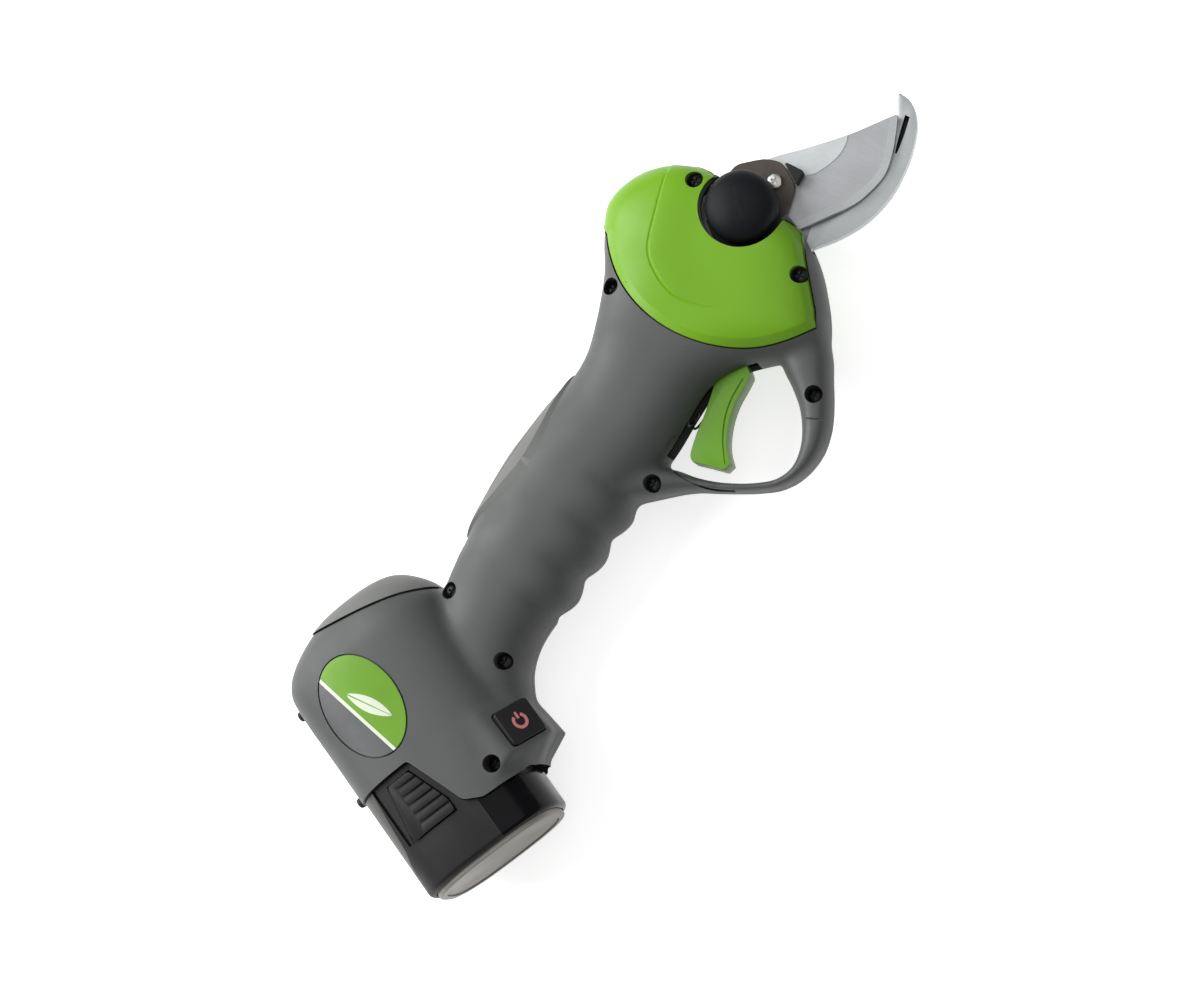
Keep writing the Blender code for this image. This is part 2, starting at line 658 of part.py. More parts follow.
def make_sector():
    start = 176.5 - 60.2
    end = 176.5 + 11.8
    web_outline = arc((0, 0), BEVEL_NEAR + 1, start, end, 10)
    web_outline += arc((0, 0), 11, end + 20, start + 340, 10)
    sector = make("bevel_sector", skin(sector_rings()), STEEL)
    web = slab("sector_web", web_outline, -12, -9.4)
    bosses = [turned_shape((x, y, 0), (0, 0, 1), [(-10, 3.6), (0, 3.6)], 12) for x, y in SECTOR_BOSSES]
    join(sector, web, make("sector_bosses", merged(bosses)))
    cut(sector, hole("sector_bore", 0, 0, PIVOT_R + GAP, -20, 0, 24))
    for i, (x, y) in enumerate(SECTOR_BOSSES):
        cut(sector, hole(f"boss_hole_{i}", x, y, 2.1, -7, 5, 12))
        profile = [(-6.5, 1.75), (4.25, 1.75), (4.25, 3.1), (6.2, 3.1)]
        make(f"sector_screw_{i + 1}", turned_shape((x, y, 0), (0, 0, 1), profile, 12), ZINC)


def tooth_ring(teeth, root_r, tip_r, root_half, tip_half, phase=0.0):
    """Trapezoid teeth as (e, z) pairs; half widths are lengths across the tooth."""
    pairs = []
    for i in range(teeth):
        middle = phase + 2 * pi * i / teeth
        for radius, half in ((root_r, -root_half), (tip_r, -tip_half), (tip_r, tip_half),
                             (root_r, root_half)):
            angle = middle + half / radius
            pairs.append((radius * cos(angle), radius * sin(angle)))
    return pairs


def make_pinion():
    rings = []
    for d in (BEVEL_NEAR, BEVEL_FAR):
        phase = -pi / 2
        pairs = tooth_ring(PINION_TEETH, 0.155 * d, 0.228 * d, 0.0305 * d, 0.0105 * d, phase)
        rings.append([drive(d, e, z) for e, z in pairs])
    pinion = make("bevel_pinion", skin(rings), STEEL, drive(34))
    bore = turned_shape(drive(0), drive(1), [(20, 2.85), (50, 2.85)], 16)
    cut(pinion, make("pinion_bore", bore))


def gear_pairs(teeth, phase=0.0, inner=False):
    pitch_r = GEAR_MODULE * teeth / 2
    tip, root = 0.53, 0.8
    if inner:
        return tooth_ring(teeth, pitch_r + root, pitch_r - tip, 0.6, 0.22, phase)
    return tooth_ring(teeth, pitch_r - root, pitch_r + tip, 0.6, 0.22, phase)


def drive_prism(pairs, low, high):
    return prism_shape(pairs, low, high, lambda e, z, d: drive(d, e, z))


def drive_turned(profile, sides, closed=False):
    return turned_shape(drive(0), drive(1), profile, sides, closed)


def make_gearbox():
    case = make("ring_gear", drive_turned([(51, CASE_R), (80, CASE_R)], 28), ZINC)
    cut(case, make("ring_teeth", drive_prism(gear_pairs(RING_TEETH, 0, True), 55.6, 90)))
    cut(case, make("case_nose", drive_turned([(40, 8.35), (60, 8.35)], 20)))
    bush = [(45, 3.0), (45, 8), (55, 8), (55, 3.0)]
    make("output_bush", drive_turned(bush, 20, closed=True), BRASS)
    plate = [(31, 2.5), (56, 2.5), (56, 11), (59.6, 11)]
    carrier = make("planet_carrier", drive_turned(plate, 20), ZINC)
    orbit = GEAR_MODULE * (SUN_TEETH + PLANET_TEETH) / 2
    pins = []
    for i in range(3):
        turn = 2 * pi * i / 3
        e, z = orbit * cos(turn), orbit * sin(turn)
        base = drive(0, e, z)
        pins.append(turned_shape(base, drive(1), [(58, 1.6), (70.5, 1.6)], 10))
        name = f"planet_gear_{i + 1}"
        pairs = gear_pairs(PLANET_TEETH, turn + pi + pi / PLANET_TEETH)
        shape = prism_shape(pairs, 60.2, 69.8, lambda a, b, d, e=e, z=z: drive(d, e + a, z + b))
        planet = make(name, shape, ZINC, drive(65, e, z))
        cut(planet, make(name + "_bore", turned_shape(base, drive(1), [(50, 1.95), (80, 1.95)], 12)))
    join(carrier, make("carrier_pins", merged(pins)))
    sun = make("sun_gear", drive_prism(gear_pairs(SUN_TEETH), 60.2, 69.8), ZINC, drive(65))
    cut(sun, make("sun_bore", drive_turned([(50, 1.85), (90, 1.85)], 12)))


def make_motor():
    can = [(MOTOR_FROM, 4), (MOTOR_FROM, MOTOR_R), (MOTOR_TO, MOTOR_R), (MOTOR_TO, 4), (127, 4),
           (127, 8.7), (85, 8.7), (85, 4)]
    make("motor_can", drive_turned(can, 20, closed=True), ZINC)
    rotor = [(61, 1.5), (87, 1.5), (87, 8.2), (125, 8.2), (125, 1.5), (132, 1.5)]
    make("motor_rotor", drive_turned(rotor, 16), STEEL, drive(106))


# ---------------------------------------------------------------- trigger and controls

def make_trigger():
    outline = [(-43.5, -20.5), (-48.5, -29.6), (-52, -30.4), (-60.4, -30.6), (-67.8, -32.2),
               (-75.2, -35.6), (-80.4, -40.2), (-83.4, -39.2), (-86.3, -27.4), (-84.4, -26),
               (-77, -24.2), (-68, -22.9), (-58, -20.6), (-52, -18.2)]
    outline += arc(TRIGGER_PIVOT, 3.9, 140, 30, 4)
    trigger = make("trigger", prism_shape(outline, -TRIGGER_HALF, TRIGGER_HALF), GREEN,
                   (*TRIGGER_PIVOT, 0))
    cut(trigger, hole("trigger_bore", *TRIGGER_PIVOT, 2.1, -10, 10, 12))
    pin = turned_shape((*TRIGGER_PIVOT, 0), (0, 0, 1), [(-12, 1.75), (12, 1.75)], 12)
    make("trigger_pin", pin, ZINC)
    make("trigger_spring", coil((-73, -22.8, 0), (0, 1, 0), 2.6, 0.45, 10.8, 4), ZINC)
    sensor = [(-62, -16.3), (-54, -15.3), (-54.2, -13.6), (-62.2, -14.6)]
    make("trigger_sensor", prism_shape(sensor, -5, 5), BOARD)


def coil(base, direction, radius, wire, length, turns):
    """A wound spring with round wire."""
    axis = Vector(direction).normalized()
    helper = Vector((0, 0, 1)) if abs(axis.z) < 0.9 else Vector((1, 0, 0))
    u = axis.cross(helper).normalized()
    w = axis.cross(u)
    steps = turns * 8
    rings = []
    for i in range(steps + 1):
        turn = 2 * pi * i / 8
        out = cos(turn) * u + sin(turn) * w
        centre = Vector(base) + axis * (wire + (length - 2 * wire) * i / steps) + radius * out
        ring = []
        for j in range(4):
            angle = 2 * pi * j / 4
            ring.append(centre + wire * (cos(angle) * out + sin(angle) * axis))
        rings.append(ring)
    return skin(rings)


def make_controls():
    button = make("power_button", prism_shape(rounded_box(6.8, 7.4, 1.6), -2.4, 1.1, button_frame), BLACK,
                  button_frame(0, 0, 0))
    stem = prism_shape(rounded_box(1.6, 1.6, 0.5), -4.2, -2, button_frame)
    join(button, make("button_stem", stem))
    make("button_switch", prism_shape(rounded_box(4, 4, 0.6), -9.5, -5.6, button_frame), BLACK)
    board = [(14, 18.4), (68, 18.4), (68, 20), (14, 20)]
    make("control_board", prism_shape(board, -17, 12, by_foot_st), BOARD)
    body = [(12, -17), (20, -17), (20, 9), (12, 9)]
    block = make("terminal_block", prism_shape(body, -9, 9, by_foot_st), BLACK)
    blades = []
    for t in (-13, -4, 5):
        outline = [(18, t - 0.4), (27.5, t - 0.4), (27.5, t + 0.4), (18, t + 0.4)]
        blades.append(prism_shape(outline, -4, 4, by_foot_st))
    join(block, make("terminal_blades", merged(blades)))
    make("wire_loom", loom_shape(), BLACK)


def loom_shape():
    """Bundle of leads from the terminal block up to the back of the motor."""
    path = [foot(9.3, -8), foot(7.6, -1), foot(7.5, 9), foot(10, 20), (-182, 30, 0), (-175, 19, 0),
            (-163, 12.5, 0), (-150, 9.6, 0), (-134, 8.4, 0)]
    path = [Vector(p) for p in path]
    rings = []
    for i, point in enumerate(path):
        run = (path[min(i + 1, len(path) - 1)] - path[max(i - 1, 0)]).normalized()
        side = Vector((-run.y, run.x, 0))
        ring = []
        for j in range(8):
            angle = 2 * pi * j / 8
            ring.append(point + 2 * (cos(angle) * side + Vector((0, 0, sin(angle)))))
        rings.append(ring)
    return skin(rings)


# ---------------------------------------------------------------- battery

def pack_shape(left, right, half, start, end, inset=0.0, soft=0.0, power=PACK_POWER):
    rings = []
    stations = [(start, 0), (end, 0)]
    if soft:
        stations = [(start, 0), (end - soft, 0), (end - soft * 0.3, soft * 0.3), (end, soft)]
    for s, draw in stations:
        pull = inset + draw
        pairs = oval(left + pull, right - pull, half - pull, power)
        rings.append([foot(s, t, z) for t, z in pairs])
    return skin(rings)


def make_battery():
    left, right, half = TOWER
    tower = pack_shape(left, right, half, PACK_TOP, PACK_END - 2.6, power=TOWER_POWER)
    case = make("battery_case", tower, BLACK)
    skirt = make("pack_skirt", pack_shape(*PACK, 50, PACK_END, 0, 2.0))
    common(skirt, slab("skirt_zone", grow(BATTERY_EDGE, -GAP), -60, 60, by_foot_st))
    join(case, skirt)
    inside = pack_shape(left, right, half, PACK_TOP + 2, 120, PACK_WALL, power=TOWER_POWER)
    cut(case, make("pack_inside", inside))
    cut(case, make("pack_mouth", pack_shape(*PACK, PACK_END - 4, 120, 2.2)))
    slots = []
    for t in (-13, -4, 5):
        outline = [(20, t - 0.9), (30, t - 0.9), (30, t + 0.9), (20, t + 0.9)]
        slots.append(prism_shape(outline, -4.6, 4.6, by_foot_st))
    cut(case, make("terminal_slots", merged(slots)))
    region = [(63, -14.5), (84, -18.5), (84, 1), (79, 1), (63, -5)]
    for side, name in ((1, "release_button_right"), (-1, "release_button_left")):
        zone = slab(name + "_well", grow(region, GAP), side * 20.4, side * 40, by_foot_st)
        cut(case, zone)
        button = make(name, pack_shape(*PACK, 58, 90, -0.8), BLACK)
        common(button, slab(name + "_zone", region, side * 22.2, side * 40, by_foot_st))
        base = foot(73, -8, side * 20.55)
        make(name.replace("button", "spring"), coil(base, (0, 0, side), 2.2, 0.3, 1.5, 1), ZINC)
    make("battery_end_plate", pack_shape(*PACK, PACK_END - 3.6, PACK_FACE, 2.6, 0.5), SILVER)
    profile = [(0, CELL_R - 0.6), (0.6, CELL_R), (CELL_LENGTH - 0.6, CELL_R),
               (CELL_LENGTH, CELL_R - 0.6)]
    for i in range(4):
        t = -4.6 + 9.25 * (1 if i % 2 else -1)
        z = 9.25 * (1 if i // 2 else -1)
        base = foot(29.8, t, z)
        make(f"cell_{i + 1}", turned_shape(base, foot(1, 0) - foot(0, 0), profile, 16), CELL)


make_housing()
make_covers()
make_trim()
make_screws()
make_fixed_blade()
make_moving_blade()
make_pivot()
make_sector()
make_pinion()
make_gearbox()
make_motor()
make_trigger()
make_controls()
make_battery()
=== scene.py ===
"""Looks for the battery electric pruner: moulded shells, ground blades and their finishes.

Shapes are made in millimetres in the tool frame: its origin is the blade pivot on the mid-plane,
+x runs to the blade, +y to the back of the handle and +z to the tool's right side. TOOL turns that
frame into the row frame's metres. The foot frame (s outward along the battery, t across it, z)
serves the battery end.
"""

import json
from math import atan2, cos, pi, radians, sin

import bmesh
import bpy
from mathutils import Matrix, Vector
from mathutils.bvhtree import BVHTree


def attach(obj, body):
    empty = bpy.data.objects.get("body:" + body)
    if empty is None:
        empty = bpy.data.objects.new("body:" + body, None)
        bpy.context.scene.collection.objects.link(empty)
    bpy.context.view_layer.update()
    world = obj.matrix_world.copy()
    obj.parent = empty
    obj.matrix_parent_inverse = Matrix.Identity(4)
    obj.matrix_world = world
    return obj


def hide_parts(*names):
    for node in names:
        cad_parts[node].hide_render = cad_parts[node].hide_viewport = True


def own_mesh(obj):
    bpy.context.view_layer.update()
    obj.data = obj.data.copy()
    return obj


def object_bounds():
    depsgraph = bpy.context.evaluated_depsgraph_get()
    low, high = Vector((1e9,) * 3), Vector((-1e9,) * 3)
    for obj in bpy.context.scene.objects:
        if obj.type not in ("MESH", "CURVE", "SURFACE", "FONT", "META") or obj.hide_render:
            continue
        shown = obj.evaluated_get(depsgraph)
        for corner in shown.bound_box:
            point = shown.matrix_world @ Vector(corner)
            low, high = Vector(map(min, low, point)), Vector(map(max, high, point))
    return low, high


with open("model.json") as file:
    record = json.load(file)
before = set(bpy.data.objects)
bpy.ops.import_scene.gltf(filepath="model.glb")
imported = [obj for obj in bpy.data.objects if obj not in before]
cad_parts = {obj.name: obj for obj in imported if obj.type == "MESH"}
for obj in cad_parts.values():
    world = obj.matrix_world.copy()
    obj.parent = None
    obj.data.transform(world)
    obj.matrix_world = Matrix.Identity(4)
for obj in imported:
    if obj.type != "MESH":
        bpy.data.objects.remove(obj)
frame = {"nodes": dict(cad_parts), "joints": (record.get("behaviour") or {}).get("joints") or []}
cad_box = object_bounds()

MM = 0.001
PIVOT = next(Vector(joint["pos_m"]) for joint in frame["joints"] if joint["name"] == "blade_pivot")
TOOL = Matrix.Translation(PIVOT) @ Matrix.Diagonal((MM, MM, MM, 1))

# Housing forms
VOXEL = 0.8
WELD = 1e-4
WALL, BAY_WALL, HEAD_WALL = 2.6, 1.9, 4.6
PARTING = 0.16
SEAM = 0.6
# Handle and head: x, front y, back y, half thickness, roundness power
HANDLE = [
    (-196, -27, 24, 17, 2.4),
    (-188, -20.5, 26, 18, 2.4),
    (-180, -14.8, 27, 18.6, 2.4),
    (-170, -12.2, 28, 19, 2.4),
    (-158, -13, 29.5, 19.5, 2.4),
    (-150, -15.5, 30, 19.5, 2.4),
    (-142, -14.7, 31, 19.5, 2.4),
    (-133, -16.9, 31.3, 19.5, 2.4),
    (-125, -15.9, 31.3, 19.5, 2.4),
    (-116, -18.2, 31, 19.5, 2.4),
    (-108, -17, 30, 19.5, 2.4),
    (-96, -19, 28.3, 19.5, 2.4),
    (-84, -20, 26, 19.5, 2.5),
    (-72, -20, 25.5, 20, 2.6),
    (-60, -21, 28.5, 20.3, 2.7),
    (-50, -26, 32, 20.7, 2.8),
    (-42, -34, 35.5, 21, 2.9),
    (-34, -44, 40.5, 21.2, 3),
    (-27, -48.5, 44, 21.2, 3),
    (-20, -45.5, 46, 21.2, 3),
    (-12, -39.5, 44.3, 21, 3),
    (-4, -32, 39.5, 20.4, 3),
    (2, -24, 32.5, 19, 3),
    (6, -15, 24, 16, 3),
]
# Stations that bound the neck, the grip and the head
NECK_TO, HEAD_INSIDE_FROM, HEAD_FROM, GRIP_TO = 8, 13, 14, 17
# Finger ridges: last and first peak, spacing, how deep the creases go
RIDGE_PEAKS = (-150, -116)
RIDGE_PITCH = 17
RIDGE_DEPTH = 1.3
# Trigger guard: x, y, width in the plane, half thickness
GUARD = [
    (-20, -30, 20, 12),
    (-34, -43.7, 18.5, 12),
    (-41.3, -50.6, 14.5, 11.5),
    (-47.6, -55.9, 11.8, 11),
    (-54.6, -60, 10, 10.5),
    (-62.4, -62.4, 7.8, 10),
    (-71, -62, 4.8, 9),
    (-77.9, -58.3, 3.6, 8),
    (-82.8, -52.2, 3.2, 7.5),
    (-86.6, -45.8, 3.2, 7.5),
    (-89.7, -39.6, 3.6, 8),
    (-92.6, -32.6, 5, 9),
    (-96.4, -24, 9.5, 11),
    (-104, -12, 14, 14),
]
# Line of the raised lip round the back of the finger opening
GUARD_LIP = [(-79.3, -22.6), (-82.2, -18.5), (-87.3, -18.8), (-92.2, -22.8), (-93.3, -30.8), (-91.9, -38.5),
             (-88, -46.5)]
# Foot: s, left t, right t, half thickness, roundness power
FOOT_TOP = Vector((-201, 56.7, 0))
FOOT_TURN = radians(247)
FOOT = [
    (-3, 2, 20, 8, 2.2),
    (-0.7, -9, 28, 16, 2.4),
    (4.6, -20, 34, 21.5, 2.6),
    (11, -26.8, 38, 24.5, 2.8),
    (20, -28.6, 39, 26, 3),
    (45, -28.6, 38, 26.2, 3),
    (68, -28.6, 36, 26.2, 3),
    (90, -28.6, 31, 25.8, 3),
]
# Button boss on the foot: s, front t, half thickness of the front face
BOSS = [(54, 36, 9), (61, 41, 12.5), (80, 43, 12.5), (88, 28, 8)]
# Its facet for the power button: run in t, and the z that it rises to
FACET_RUN, FACET_TOP = 15, 24.8
BUTTON_TILT = atan2(FACET_RUN, FACET_TOP - BOSS[2][2])
# Edge of the heel bumper on the foot, in s and t
HEEL_EDGE = [(-20, -14), (-1, -10), (2.2, 0.3), (5.5, 15.5), (8.7, 28), (11.7, 36), (13.5, 42), (-20, 42)]
HEEL_SEAM = 0.9
BATTERY_EDGE = [(60, -60), (60, -3), (83, 5.5), (86.4, 12), (86.4, 70), (150, 70), (150, -60)]

# Blade pivot stack, z of each layer
HOOK_Z = (-4.7, -0.35)
BLADE_Z = (0.35, 3.9)
CLAMP_Z = (4.25, 7.2)
# Radii about the pivot: head cover, its mouth round the cap, and the holes of bolt and clamp screw
COVER_R = 50
MOUTH_R = 15.2
BOLT_HOLE_R = 5.35
CLAMP_HOLE_R = 1.9

# Raised crescent on the head cover, and the width of the cover's chamfered rim
CRESCENT = [(-3.4, 29.5), (-16.3, 25.4), (-28.4, 21.3), (-34.9, 14.3), (-38.7, 4.8), (-38, -5), (-34, -14)]
RIM_WIDTH = 2.7

# Blades: outlines of the hook and of the moving blade's back and edge
HOOK_OUTER = [(1, -25.5), (9, -32.2), (19, -37.8), (31, -40.7), (44, -40.1), (54.5, -37.3), (60.4, -33.8),
              (63.6, -29.6), (64.4, -25)]
HOOK_INNER = [(64.0, -24.6), (57.5, -26.2), (52.5, -30.5), (43, -32.5), (32, -31), (22, -26.5),
              (15, -19.5), (13, -9)]
EARS = [(-4, -20), (-3, 22)]
SPINE = [(12.5, 9.5), (21.6, 3.4), (30.7, -6.1), (41.9, -16.9), (49.9, -23.3), (56, -28)]
EDGE = [(56.6, -28.9), (50.5, -31.6), (44, -34), (35, -35.6), (25, -33.1), (19, -29.9), (14, -26),
        (8, -21.5), (0, -15.3)]
GRIND_WIDTH, GRIND_DEPTH = 2.8, 0.7
# Slot that clears sap, in the hook, with its faces painted near-black as shade: x, y, half width
SAP_SLOT = [(44.7, -34.5, 0.35), (48, -33.8, 0.7), (52.5, -32.8, 0.9), (58.4, -31.4, 0.95)]
# The near face is ground down below this line, by a little
FACE_LINE = [(8, -6), (20.4, -10.1), (24.6, -13.9), (31.6, -17.2), (37.2, -18.1), (41.9, -16.9), (46, -13)]
FACE_DEPTH = 0.25
CLAMP_SCREW = (14.5, -3.4)
SECTOR_BOSSES = [(22 * cos(radians(a)), 22 * sin(radians(a))) for a in (150, 178)]

# Battery pack in the foot frame: left t, right t, half thickness
TOWER = (-25, 15.8, 20.6)
PACK = (-28.2, 29.4, 24)
PACK_TOP, PACK_END, PACK_FACE = 24, 102, 103.7
LATCH = [(63, -14.5), (84, -18.5), (84, 1), (79, 1), (63, -5)]

SIDES = ((1, "right"), (-1, "left"))
TRIGGER_PIVOT = (-47, -22)
# Half the trigger's width
TRIGGER_HALF = 6

# Screws of the housing: x, y, seat z, tip z
SCREWS = {
    "cover_screw_back": (0.3, 19.6, 16.5, 10.5),
    "cover_screw_front": (-11.2, -30, 15, -9),
    "guard_screw": (-44.9, -54.5, 6.5, -7),
    "grip_screw_front": (-100, -20.5, 8.5, -9),
    "grip_screw_low": (-180.5, -7, 13, -9),
    "foot_screw": (-212.6, -24, 18, -9),
    "neck_screw_back": (-46.8, 27.8, 9, -7),
    "grip_screw_back": (-168.9, 23.6, 9, -9),
}
HEAD_R, RECESS_R, SHANK_R = 2.7, 3.2, 1.4

# Half the floor's width in metres
FLOOR_REACH = 8.0
# Camera: its lean, roll, distance in metres, width of the picture there, and the point it looks at
CAMERA_TILT = radians(14)
CAMERA_ROLL = radians(60)
CAMERA_FAR = 1.1
FRAME_WIDTH = 0.4286
AIM = Vector((-115.4, -4.95, 0))


# ---- frames, curves and outlines

def foot(s, t, z=0.0):
    along = Vector((cos(FOOT_TURN), sin(FOOT_TURN), 0))
    across = Vector((-sin(FOOT_TURN), cos(FOOT_TURN), 0))
    return FOOT_TOP + s * along + t * across + Vector((0, 0, z))


ACROSS = foot(0, 1) - foot(0, 0)
ALONG = foot(1, 0) - foot(0, 0)


def arc(centre, radius, start, end, steps):
    points = []
    for i in range(steps + 1):
        angle = radians(start + (end - start) * i / steps)
        points.append((centre[0] + radius * cos(angle), centre[1] + radius * sin(angle)))
    return points


def spline(rows, steps):
    """Rows of numbers made finer with a Catmull-Rom curve through them."""
    dense = []
    for i in range(len(rows) - 1):
        a, b, c, d = rows[max(i - 1, 0)], rows[i], rows[i + 1], rows[min(i + 2, len(rows) - 1)]
        for k in range(steps):
            t = k / steps
            dense.append(tuple(
                q + 0.5 * t * (r - p + t * (2 * p - 5 * q + 4 * r - s + t * (3 * (q - r) + s - p)))
                for p, q, r, s in zip(a, b, c, d)))
    return dense + [tuple(rows[-1])]


def grow(outline, distance):
    """An outline with every edge moved outward by a distance."""
    area = sum(a[0] * b[1] - b[0] * a[1] for a, b in zip(outline, outline[1:] + outline[:1]))
    side = distance if area > 0 else -distance
    grown = []
    for i, point in enumerate(outline):
        before = Vector(point) - Vector(outline[i - 1])
        after = Vector(outline[(i + 1) % len(outline)]) - Vector(point)
        n1 = Vector((before.y, -before.x)).normalized()
        n2 = Vector((after.y, -after.x)).normalized()
        shift = (n1 + n2) / (1 + n1.dot(n2))
        grown.append((point[0] + side * shift.x, point[1] + side * shift.y))
    return grown


def rounded(outline, radius, steps=4):
    """An outline with each corner turned by a curve that starts a radius before it."""
    turned = []
    for i, point in enumerate(outline):
        corner = Vector(point)
        before, after = Vector(outline[i - 1]), Vector(outline[(i + 1) % len(outline)])
        reach = min(radius, (before - corner).length * 0.45, (after - corner).length * 0.45)
        first = corner + (before - corner).normalized() * reach
        last = corner + (after - corner).normalized() * reach
        for k in range(steps + 1):
            t = k / steps
            turned.append(tuple(first * (1 - t) ** 2 + corner * 2 * t * (1 - t) + last * t * t))
    return turned


def oval(u_low, u_high, half_w, power, count):
    """A superellipse as (u, w) pairs between u_low and u_high."""
    middle, half_u = (u_low + u_high) / 2, (u_high - u_low) / 2
    pairs = []
    for i in range(count):
        angle = 2 * pi * (i + 0.5) / count
        c, s = cos(angle), sin(angle)
        u = abs(c) ** (2 / power) * (1 if c > 0 else -1)
        w = abs(s) ** (2 / power) * (1 if s > 0 else -1)
        pairs.append((middle + half_u * u, half_w * w))
    return pairs


def smoothstep(value):
    value = min(max(value, 0.0), 1.0)
    return value * value * (3 - 2 * value)


def path_distance(point, path):
    """Distance to a path in the plane, the side it is on, and how far along it, from 0 to 1."""
    best = (1e9, 1, 0)
    spans = len(path) - 1
    for i in range(spans):
        a, b = Vector(path[i]), Vector(path[i + 1])
        run = b - a
        share = min(max((point - a).dot(run) / run.length_squared, 0), 1)
        away = point - (a + run * share)
        if away.length < best[0]:
            side = 1 if run.x * away.y - run.y * away.x > 0 else -1
            best = (away.length, side, (i + share) / spans)
    return best


# ---- mesh making

def add_object(name, data):
    obj = bpy.data.objects.new(name, data)
    bpy.context.scene.collection.objects.link(obj)
    return obj


def solid(name, shape):
    """A mesh object in the tool frame from vertices and faces."""
    mesh = bpy.data.meshes.new(name)
    mesh.from_pydata([tuple(v) for v in shape[0]], [], shape[1])
    bm = bmesh.new()
    bm.from_mesh(mesh)
    bmesh.ops.remove_doubles(bm, verts=bm.verts, dist=WELD)
    bmesh.ops.recalc_face_normals(bm, faces=bm.faces)
    if bm.calc_volume(signed=True) < 0:
        bmesh.ops.reverse_faces(bm, faces=bm.faces)
    bm.to_mesh(mesh)
    bm.free()
    return add_object(name, mesh)


def skin(rings, closed=False):
    """Vertices and faces of a surface through rings of equal length; ends capped if open."""
    count = len(rings[0])
    verts = [v for ring in rings for v in ring]
    faces = []
    spans = len(rings) if closed else len(rings) - 1
    for i in range(spans):
        a, b = i * count, ((i + 1) % len(rings)) * count
        for j in range(count):
            k = (j + 1) % count
            faces.append((a + j, a + k, b + k, b + j))
    if not closed:
        faces.append(tuple(range(count))[::-1])
        faces.append(tuple(range(len(verts) - count, len(verts))))
    return verts, faces


def merged(shapes):
    verts, faces = [], []
    for shape_verts, shape_faces in shapes:
        start = len(verts)
        verts.extend(shape_verts)
        faces.extend(tuple(start + i for i in face) for face in shape_faces)
    return verts, faces


def prism(outline, low, high, place=lambda u, w, z: Vector((u, w, z))):
    """A straight-sided shape; place turns an outline's point and a height into a point."""
    return skin([[place(u, w, low) for u, w in outline], [place(u, w, high) for u, w in outline]])


def axis_frame(axis):
    """Two directions across an axis."""
    helper = Vector((0, 0, 1)) if abs(axis.z) < 0.9 else Vector((1, 0, 0))
    u = axis.cross(helper).normalized()
    return u, axis.cross(u)


def turned(base, direction, profile, sides=48, closed=False):
    """A solid of revolution; the profile is (distance along the axis, radius)."""
    axis = Vector(direction).normalized()
    u, w = axis_frame(axis)
    rings = []
    for along, radius in profile:
        centre = Vector(base) + axis * along
        turn = [2 * pi * (i + 0.5) / sides for i in range(sides)]
        rings.append([centre + radius * (cos(a) * u + sin(a) * w) for a in turn])
    return skin(rings, closed)


def upright(x, y, profile, sides=48, closed=False):
    """A solid of revolution about a line across the tool."""
    return turned((x, y, 0), (0, 0, 1), profile, sides, closed)


def hole(x, y, radius, low, high):
    return upright(x, y, [(low, radius), (high, radius)], 40)


def modify(obj, kind, **settings):
    mod = obj.modifiers.new(kind.lower(), kind)
    for name, value in settings.items():
        setattr(mod, name, value)


def bake_modifiers(obj):
    """Turns an object's modifiers into its mesh."""
    view = bpy.context.evaluated_depsgraph_get()
    mesh = bpy.data.meshes.new_from_object(obj.evaluated_get(view))
    obj.modifiers.clear()
    obj.data = mesh
    return obj


def discard(*objects):
    for obj in objects:
        bpy.data.objects.remove(obj)


def boolean(obj, kind, tools, keep=False):
    """Applies tools, each an object or a plain shape, to an object one after another."""
    tools = [solid("tool", tool) if isinstance(tool, tuple) else tool for tool in tools]
    for tool in tools:
        modify(obj, "BOOLEAN", operation=kind, object=tool, solver="MANIFOLD")
    bake_modifiers(obj)
    if not keep:
        discard(*tools)
    return obj


def cut(obj, *tools, keep=False):
    return boolean(obj, "DIFFERENCE", tools, keep)


def join(obj, *tools):
    return boolean(obj, "UNION", tools)


def common(obj, *tools):
    return boolean(obj, "INTERSECT", tools)


def copy_of(obj, name):
    return add_object(name, obj.data.copy())


def panel(name, form, zone, *inside):
    """The stretch of a form that lies in a zone, less the shapes inside it."""
    return cut(common(solid(name, form), zone), *inside)


def soften(obj, width, segments, angle):
    """Rounds an object's edges that are sharper than an angle."""
    modify(obj, "BEVEL", width=width, segments=segments, limit_method="ANGLE", angle_limit=radians(angle),
           use_clamp_overlap=True)
    return bake_modifiers(obj)


def edge_loops(obj, width, area):
    """Adds a loop just inside the border of each big face, so that wear stays at its edge."""
    bm = bmesh.new()
    bm.from_mesh(obj.data)
    faces = [face for face in bm.faces if face.calc_area() > area]
    bmesh.ops.inset_individual(bm, faces=faces, thickness=width)
    bm.to_mesh(obj.data)
    bm.free()


def remesh(obj):
    """Rebuilds a mesh on an even grid and smooths away the grid's steps."""
    modify(obj, "REMESH", mode="VOXEL", voxel_size=VOXEL, use_smooth_shade=True)
    modify(obj, "SMOOTH", factor=0.5, iterations=2)
    return bake_modifiers(obj)


def move_vertices(obj, shift):
    """Moves each vertex by what shift(place, normal) gives."""
    places = [(v, shift(v.co.copy(), v.normal.copy())) for v in obj.data.vertices]
    for vertex, step in places:
        if step:
            vertex.co += step
    obj.data.update()


def piece(obj, body, mat, replaces=(), crease=35):
    """Sets a finished shape in the row frame, within the CAD box: its body, material and nodes."""
    obj.data.transform(TOOL)
    for vertex in obj.data.vertices:
        vertex.co = [min(max(value, low), high) for value, low, high in zip(vertex.co, *cad_box)]
    obj.data.materials.clear()
    obj.data.materials.append(mat)
    obj.data.shade_smooth()
    obj.data.set_sharp_from_angle(angle=radians(crease))
    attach(obj, body)
    if replaces:
        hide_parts(*replaces)
    return obj


